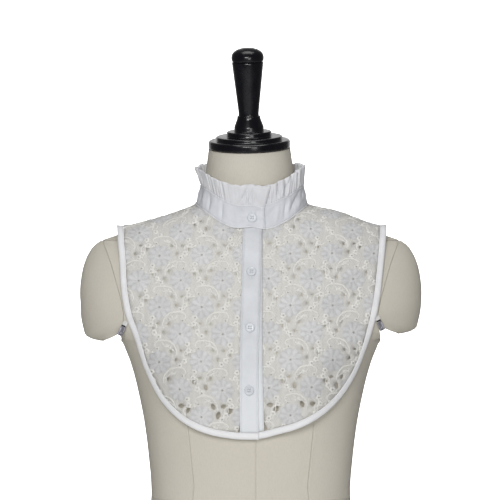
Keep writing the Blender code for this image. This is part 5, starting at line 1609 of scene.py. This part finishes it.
def tube(path, radius, sides=8):
    """A round cord along a path: circles of the radius in the plane square to it, ends closed."""
    way = np.gradient(path, axis=0)
    way /= np.linalg.norm(way, axis=1, keepdims=True)
    side = np.cross(way, (0.0, 0.0, 1.0))
    upright = np.linalg.norm(side, axis=1, keepdims=True) < 0.1
    side = np.where(upright, np.cross(way, (1.0, 0.0, 0.0)), side)
    side /= np.linalg.norm(side, axis=1, keepdims=True)
    up = np.cross(side, way)
    turn = circle(sides)[None, :, None]
    rings = path[:, None] + radius * (side[:, None] * np.cos(turn) + up[:, None] * np.sin(turn))
    faces = [face[::-1] for face in ring_faces(len(path), sides)]
    return rings.reshape(-1, 3), faces


def add_cords(name, cords, finish):
    """Several tubes as one cotton piece, its maps read from above."""
    points, faces = joined(cords)
    spots = points[:, :2] * MM
    return add_piece(name, points, faces, finish, "cotton", maps={"laid": spots, "sewn": spots})


def add_welts(finish):
    """Welted edges along the band's foot and head, where the layers are turned in and stitched; their
    cotton is painted brighter than the band's, as painted highlight.
    """
    angles = OVER_END + (UNDER_END - OVER_END) * np.linspace(0, 1, 420)
    welts = []
    for level, walls, radius in WELTS:
        path = collar_points(angles, np.full_like(angles, level))
        out = collar_points(angles, np.full_like(angles, level), 1.0) - path
        path = path + out * (BAND_WALL * walls)
        welts.append(tube(path[angles > WELT_END], radius))
    return add_cords("band_welts", welts, finish)


def button_mesh(seat):
    """A four-hole button: a rimmed disc whose top is rim + dish - holes, on a grid of radius and turn."""
    turn = circle(BUTTON_COLUMNS)
    rr, tt = np.meshgrid(BUTTON_RINGS, turn, indexing="ij")
    x, y = rr * np.cos(tt), rr * np.sin(tt)
    dish = 2.0 + 0.45 * np.exp(-(((rr - 5.0) / 0.55) ** 2)) - 0.35 * smooth((rr - 5.45) / 0.55)
    spots = [(a, b) for a in HOLE_SPOTS for b in HOLE_SPOTS]
    hole = sum(np.exp(-((((x - a) ** 2 + (y - b) ** 2) / 0.75**2) ** 2)) for a, b in spots)
    top = np.stack([x, y, dish - 1.1 * hole], axis=-1)
    radius, height = np.hsplit(np.array(BUTTON_FOOT), 2)
    low = np.stack([radius * np.cos(turn), radius * np.sin(turn), height + 0 * turn], axis=-1)
    points = np.concatenate([top, low]).reshape(-1, 3)
    faces = [face[::-1] for face in ring_faces(len(top) + len(low), BUTTON_COLUMNS)]
    # The hole mark also feeds painted shade in the button's finish.
    marks = np.concatenate([np.clip(hole, 0, 1).ravel(), np.zeros(low.shape[0] * low.shape[1])])
    return seated(points, seat), faces, marks


def add_buttons(finish, thread_finish):
    """Four buttons and the threads through their holes."""
    seats = []
    point, out = band_frame(TOP_BUTTON_ANGLE, TOP_BUTTON_LEVEL)
    seats.append(facing_matrix(point + out * (BAND_WALL / 2 + SEAM_GAP), out))
    for z in BUTTON_HEIGHTS:
        x = float(rows(PLACKET_MIDDLE, z)[0])
        point, out = FRONT.frame_at(x, FRONT.run_at(x, z))
        seats.append(facing_matrix(point + out * (placket_lift(z) + PLACKET_WALL / 2 + BUTTON_GAP), out))
    threads = []
    for number, seat in enumerate(seats, start=1):
        points, faces, hole = button_mesh(seat)
        replaced, marks = (f"button_{number}",), {"hole": hole}
        add_piece(f"shirt_button_{number}", points, faces, finish, "button", replaced, None, marks, 60)
        for a in HOLE_SPOTS:
            t = np.linspace(-1, 1, 11)
            path = np.column_stack([np.full(11, a), t * HOLE_SPOTS[1], 1.75 + 0.42 * (1 - t**4)])
            threads.append(tube(seated(path, seat), THREAD_RADIUS, 7))
    add_cords("button_threads", threads, thread_finish)


def add_buttonholes(finish):
    """Worked buttonholes down the placket, a cord round each: w |cos t|^0.4 across and l sin t along."""
    parts = []
    wide, long = BUTTONHOLE
    for z in BUTTON_HEIGHTS:
        t = np.linspace(0, 2 * math.pi, 41)
        a, b = wide * np.sign(np.cos(t)) * np.abs(np.cos(t)) ** 0.4, long * np.sin(t)
        x = rows(PLACKET_MIDDLE, z + b)[:, 0] + a
        run = FRONT.run_at(float(rows(PLACKET_MIDDLE, z)[0]), z) + b
        path = FRONT.place(x, run, placket_lift(z + b) + PLACKET_WALL / 2 + 0.18)
        parts.append(tube(path, BUTTONHOLE_CORD, 6))
    return add_cords("buttonholes", parts, finish)


def declare(lace, bindings):
    """Reads each lace panel's size and the pieces sewn on it, and does nothing with them."""
    for name, (piece, stitched, size, area) in lace.items():
        size, sewn_on = [float(s) for s in size], [stitched, bindings[name]]


def light_up():
    """White studio: bright behind, a dim surround elsewhere, two soft boxes in front and one above."""
    scene = bpy.context.scene
    world = bpy.data.worlds.new("studio")
    scene.world = world
    world.use_nodes = True
    tree = world.node_tree
    surround = tree.nodes["Background"]
    surround.inputs["Color"].default_value = (1.0, 1.0, 1.0, 1.0)
    toward, split = tree.nodes.new("ShaderNodeTexCoord"), tree.nodes.new("ShaderNodeSeparateXYZ")
    behind = tree.nodes.new("ShaderNodeMapRange")
    behind.interpolation_type = "SMOOTHSTEP"
    for socket, value in (("From Min", 0.70), ("From Max", 0.92), ("To Min", 0.125), ("To Max", 0.80)):
        behind.inputs[socket].default_value = value
    tree.links.new(toward.outputs["Generated"], split.inputs[0])
    tree.links.new(split.outputs["Y"], behind.inputs["Value"])
    tree.links.new(behind.outputs[0], surround.inputs["Strength"])
    backdrop = tree.nodes.new("ShaderNodeBackground")
    backdrop.inputs["Strength"].default_value = 3.0
    path, chosen = tree.nodes.new("ShaderNodeLightPath"), tree.nodes.new("ShaderNodeMixShader")
    tree.links.new(path.outputs["Is Camera Ray"], chosen.inputs[0])
    tree.links.new(surround.outputs[0], chosen.inputs[1])
    tree.links.new(backdrop.outputs[0], chosen.inputs[2])
    tree.links.new(chosen.outputs[0], tree.nodes["World Output"].inputs["Surface"])
    for name, place, size, power, aim in LAMPS:
        lamp = bpy.data.lights.new(name, "AREA")
        lamp.shape, lamp.size, lamp.size_y, lamp.energy = "RECTANGLE", size[0], size[1], power
        made = bpy.data.objects.new(name, lamp)
        made.location = place
        made.rotation_euler = (Vector(aim) - Vector(place)).to_track_quat("-Z", "Y").to_euler()
        scene.collection.objects.link(made)
    scene.view_settings.view_transform = "Standard"


def add_floor(finish):
    """A pale round floor."""
    turn = circle(FLOOR_CORNERS)
    points = np.column_stack([np.cos(turn), np.sin(turn), np.full(len(turn), FLOOR_DROP)])
    points = points * (FLOOR_RADIUS, FLOOR_RADIUS, 1)
    mesh = bpy.data.meshes.new("studio_floor")
    mesh.from_pydata((points * MM).tolist(), [], [list(range(FLOOR_CORNERS))])
    mesh.materials.append(finish)
    floor = bpy.data.objects.new("studio_floor", mesh)
    bpy.context.scene.collection.objects.link(floor)


def add_camera():
    """A level camera in front, at the height of the picture's middle. It sees PICTURE_WIDTH at the form."""
    lens = bpy.data.cameras.new("camera")
    lens.sensor_width, lens.lens = SENSOR, SENSOR * CAMERA_DISTANCE / PICTURE_WIDTH
    lens.clip_start, lens.clip_end = 0.1, 50.0
    camera = bpy.data.objects.new("camera", lens)
    camera.location = (-0.001, -CAMERA_DISTANCE, CAMERA_HEIGHT)
    camera.rotation_euler = (math.radians(90), 0.0, 0.0)
    bpy.context.scene.collection.objects.link(camera)
    bpy.context.scene.camera = camera


chance = np.random.default_rng(7)
add_camera()
light_up()
add_floor(floor_finish())
add_form(canvas_finish())
lacquer = lacquer_finish()
add_knob(lacquer)
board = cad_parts["base_board"].data
board.materials.clear()
board.materials.append(board_finish())
add_latches(steel_finish(), tab_finish(), lacquer)
finishes = {"net": net_finish(), "stitch": stitch_finish()}
lace = add_lace(finishes, chance)
bindings = add_bindings(cotton_finish("bias_cotton", (0.86, 0.862, 0.875), 0.0014))
placket_cotton = cotton_finish("placket_cotton", (0.685, 0.703, 0.735), 0.0021)
under_cotton = cotton_finish("under_cotton", (0.70, 0.72, 0.755), 0.0016)
plackets = add_plackets(placket_cotton, under_cotton)
band_cotton = cotton_finish("band_cotton", (0.69, 0.705, 0.745), 0.0018)
ruffle_cotton = cotton_finish("ruffle_cotton", (0.725, 0.73, 0.755), 0.0012)
stand = (add_band(band_cotton), add_ruffle(ruffle_cotton))
# Painted highlight: the welts' cotton is paler than the band's own.
welts = add_welts(cotton_finish("welt_cotton_highlight", (0.82, 0.825, 0.845), 1.0))
thread_cotton = cotton_finish("thread_cotton", (0.78, 0.78, 0.79), 1.0)
add_buttons(button_finish(), thread_cotton)
holes = add_buttonholes(thread_cotton)
declare(lace, bindings)
bpy.context.view_layer.update()
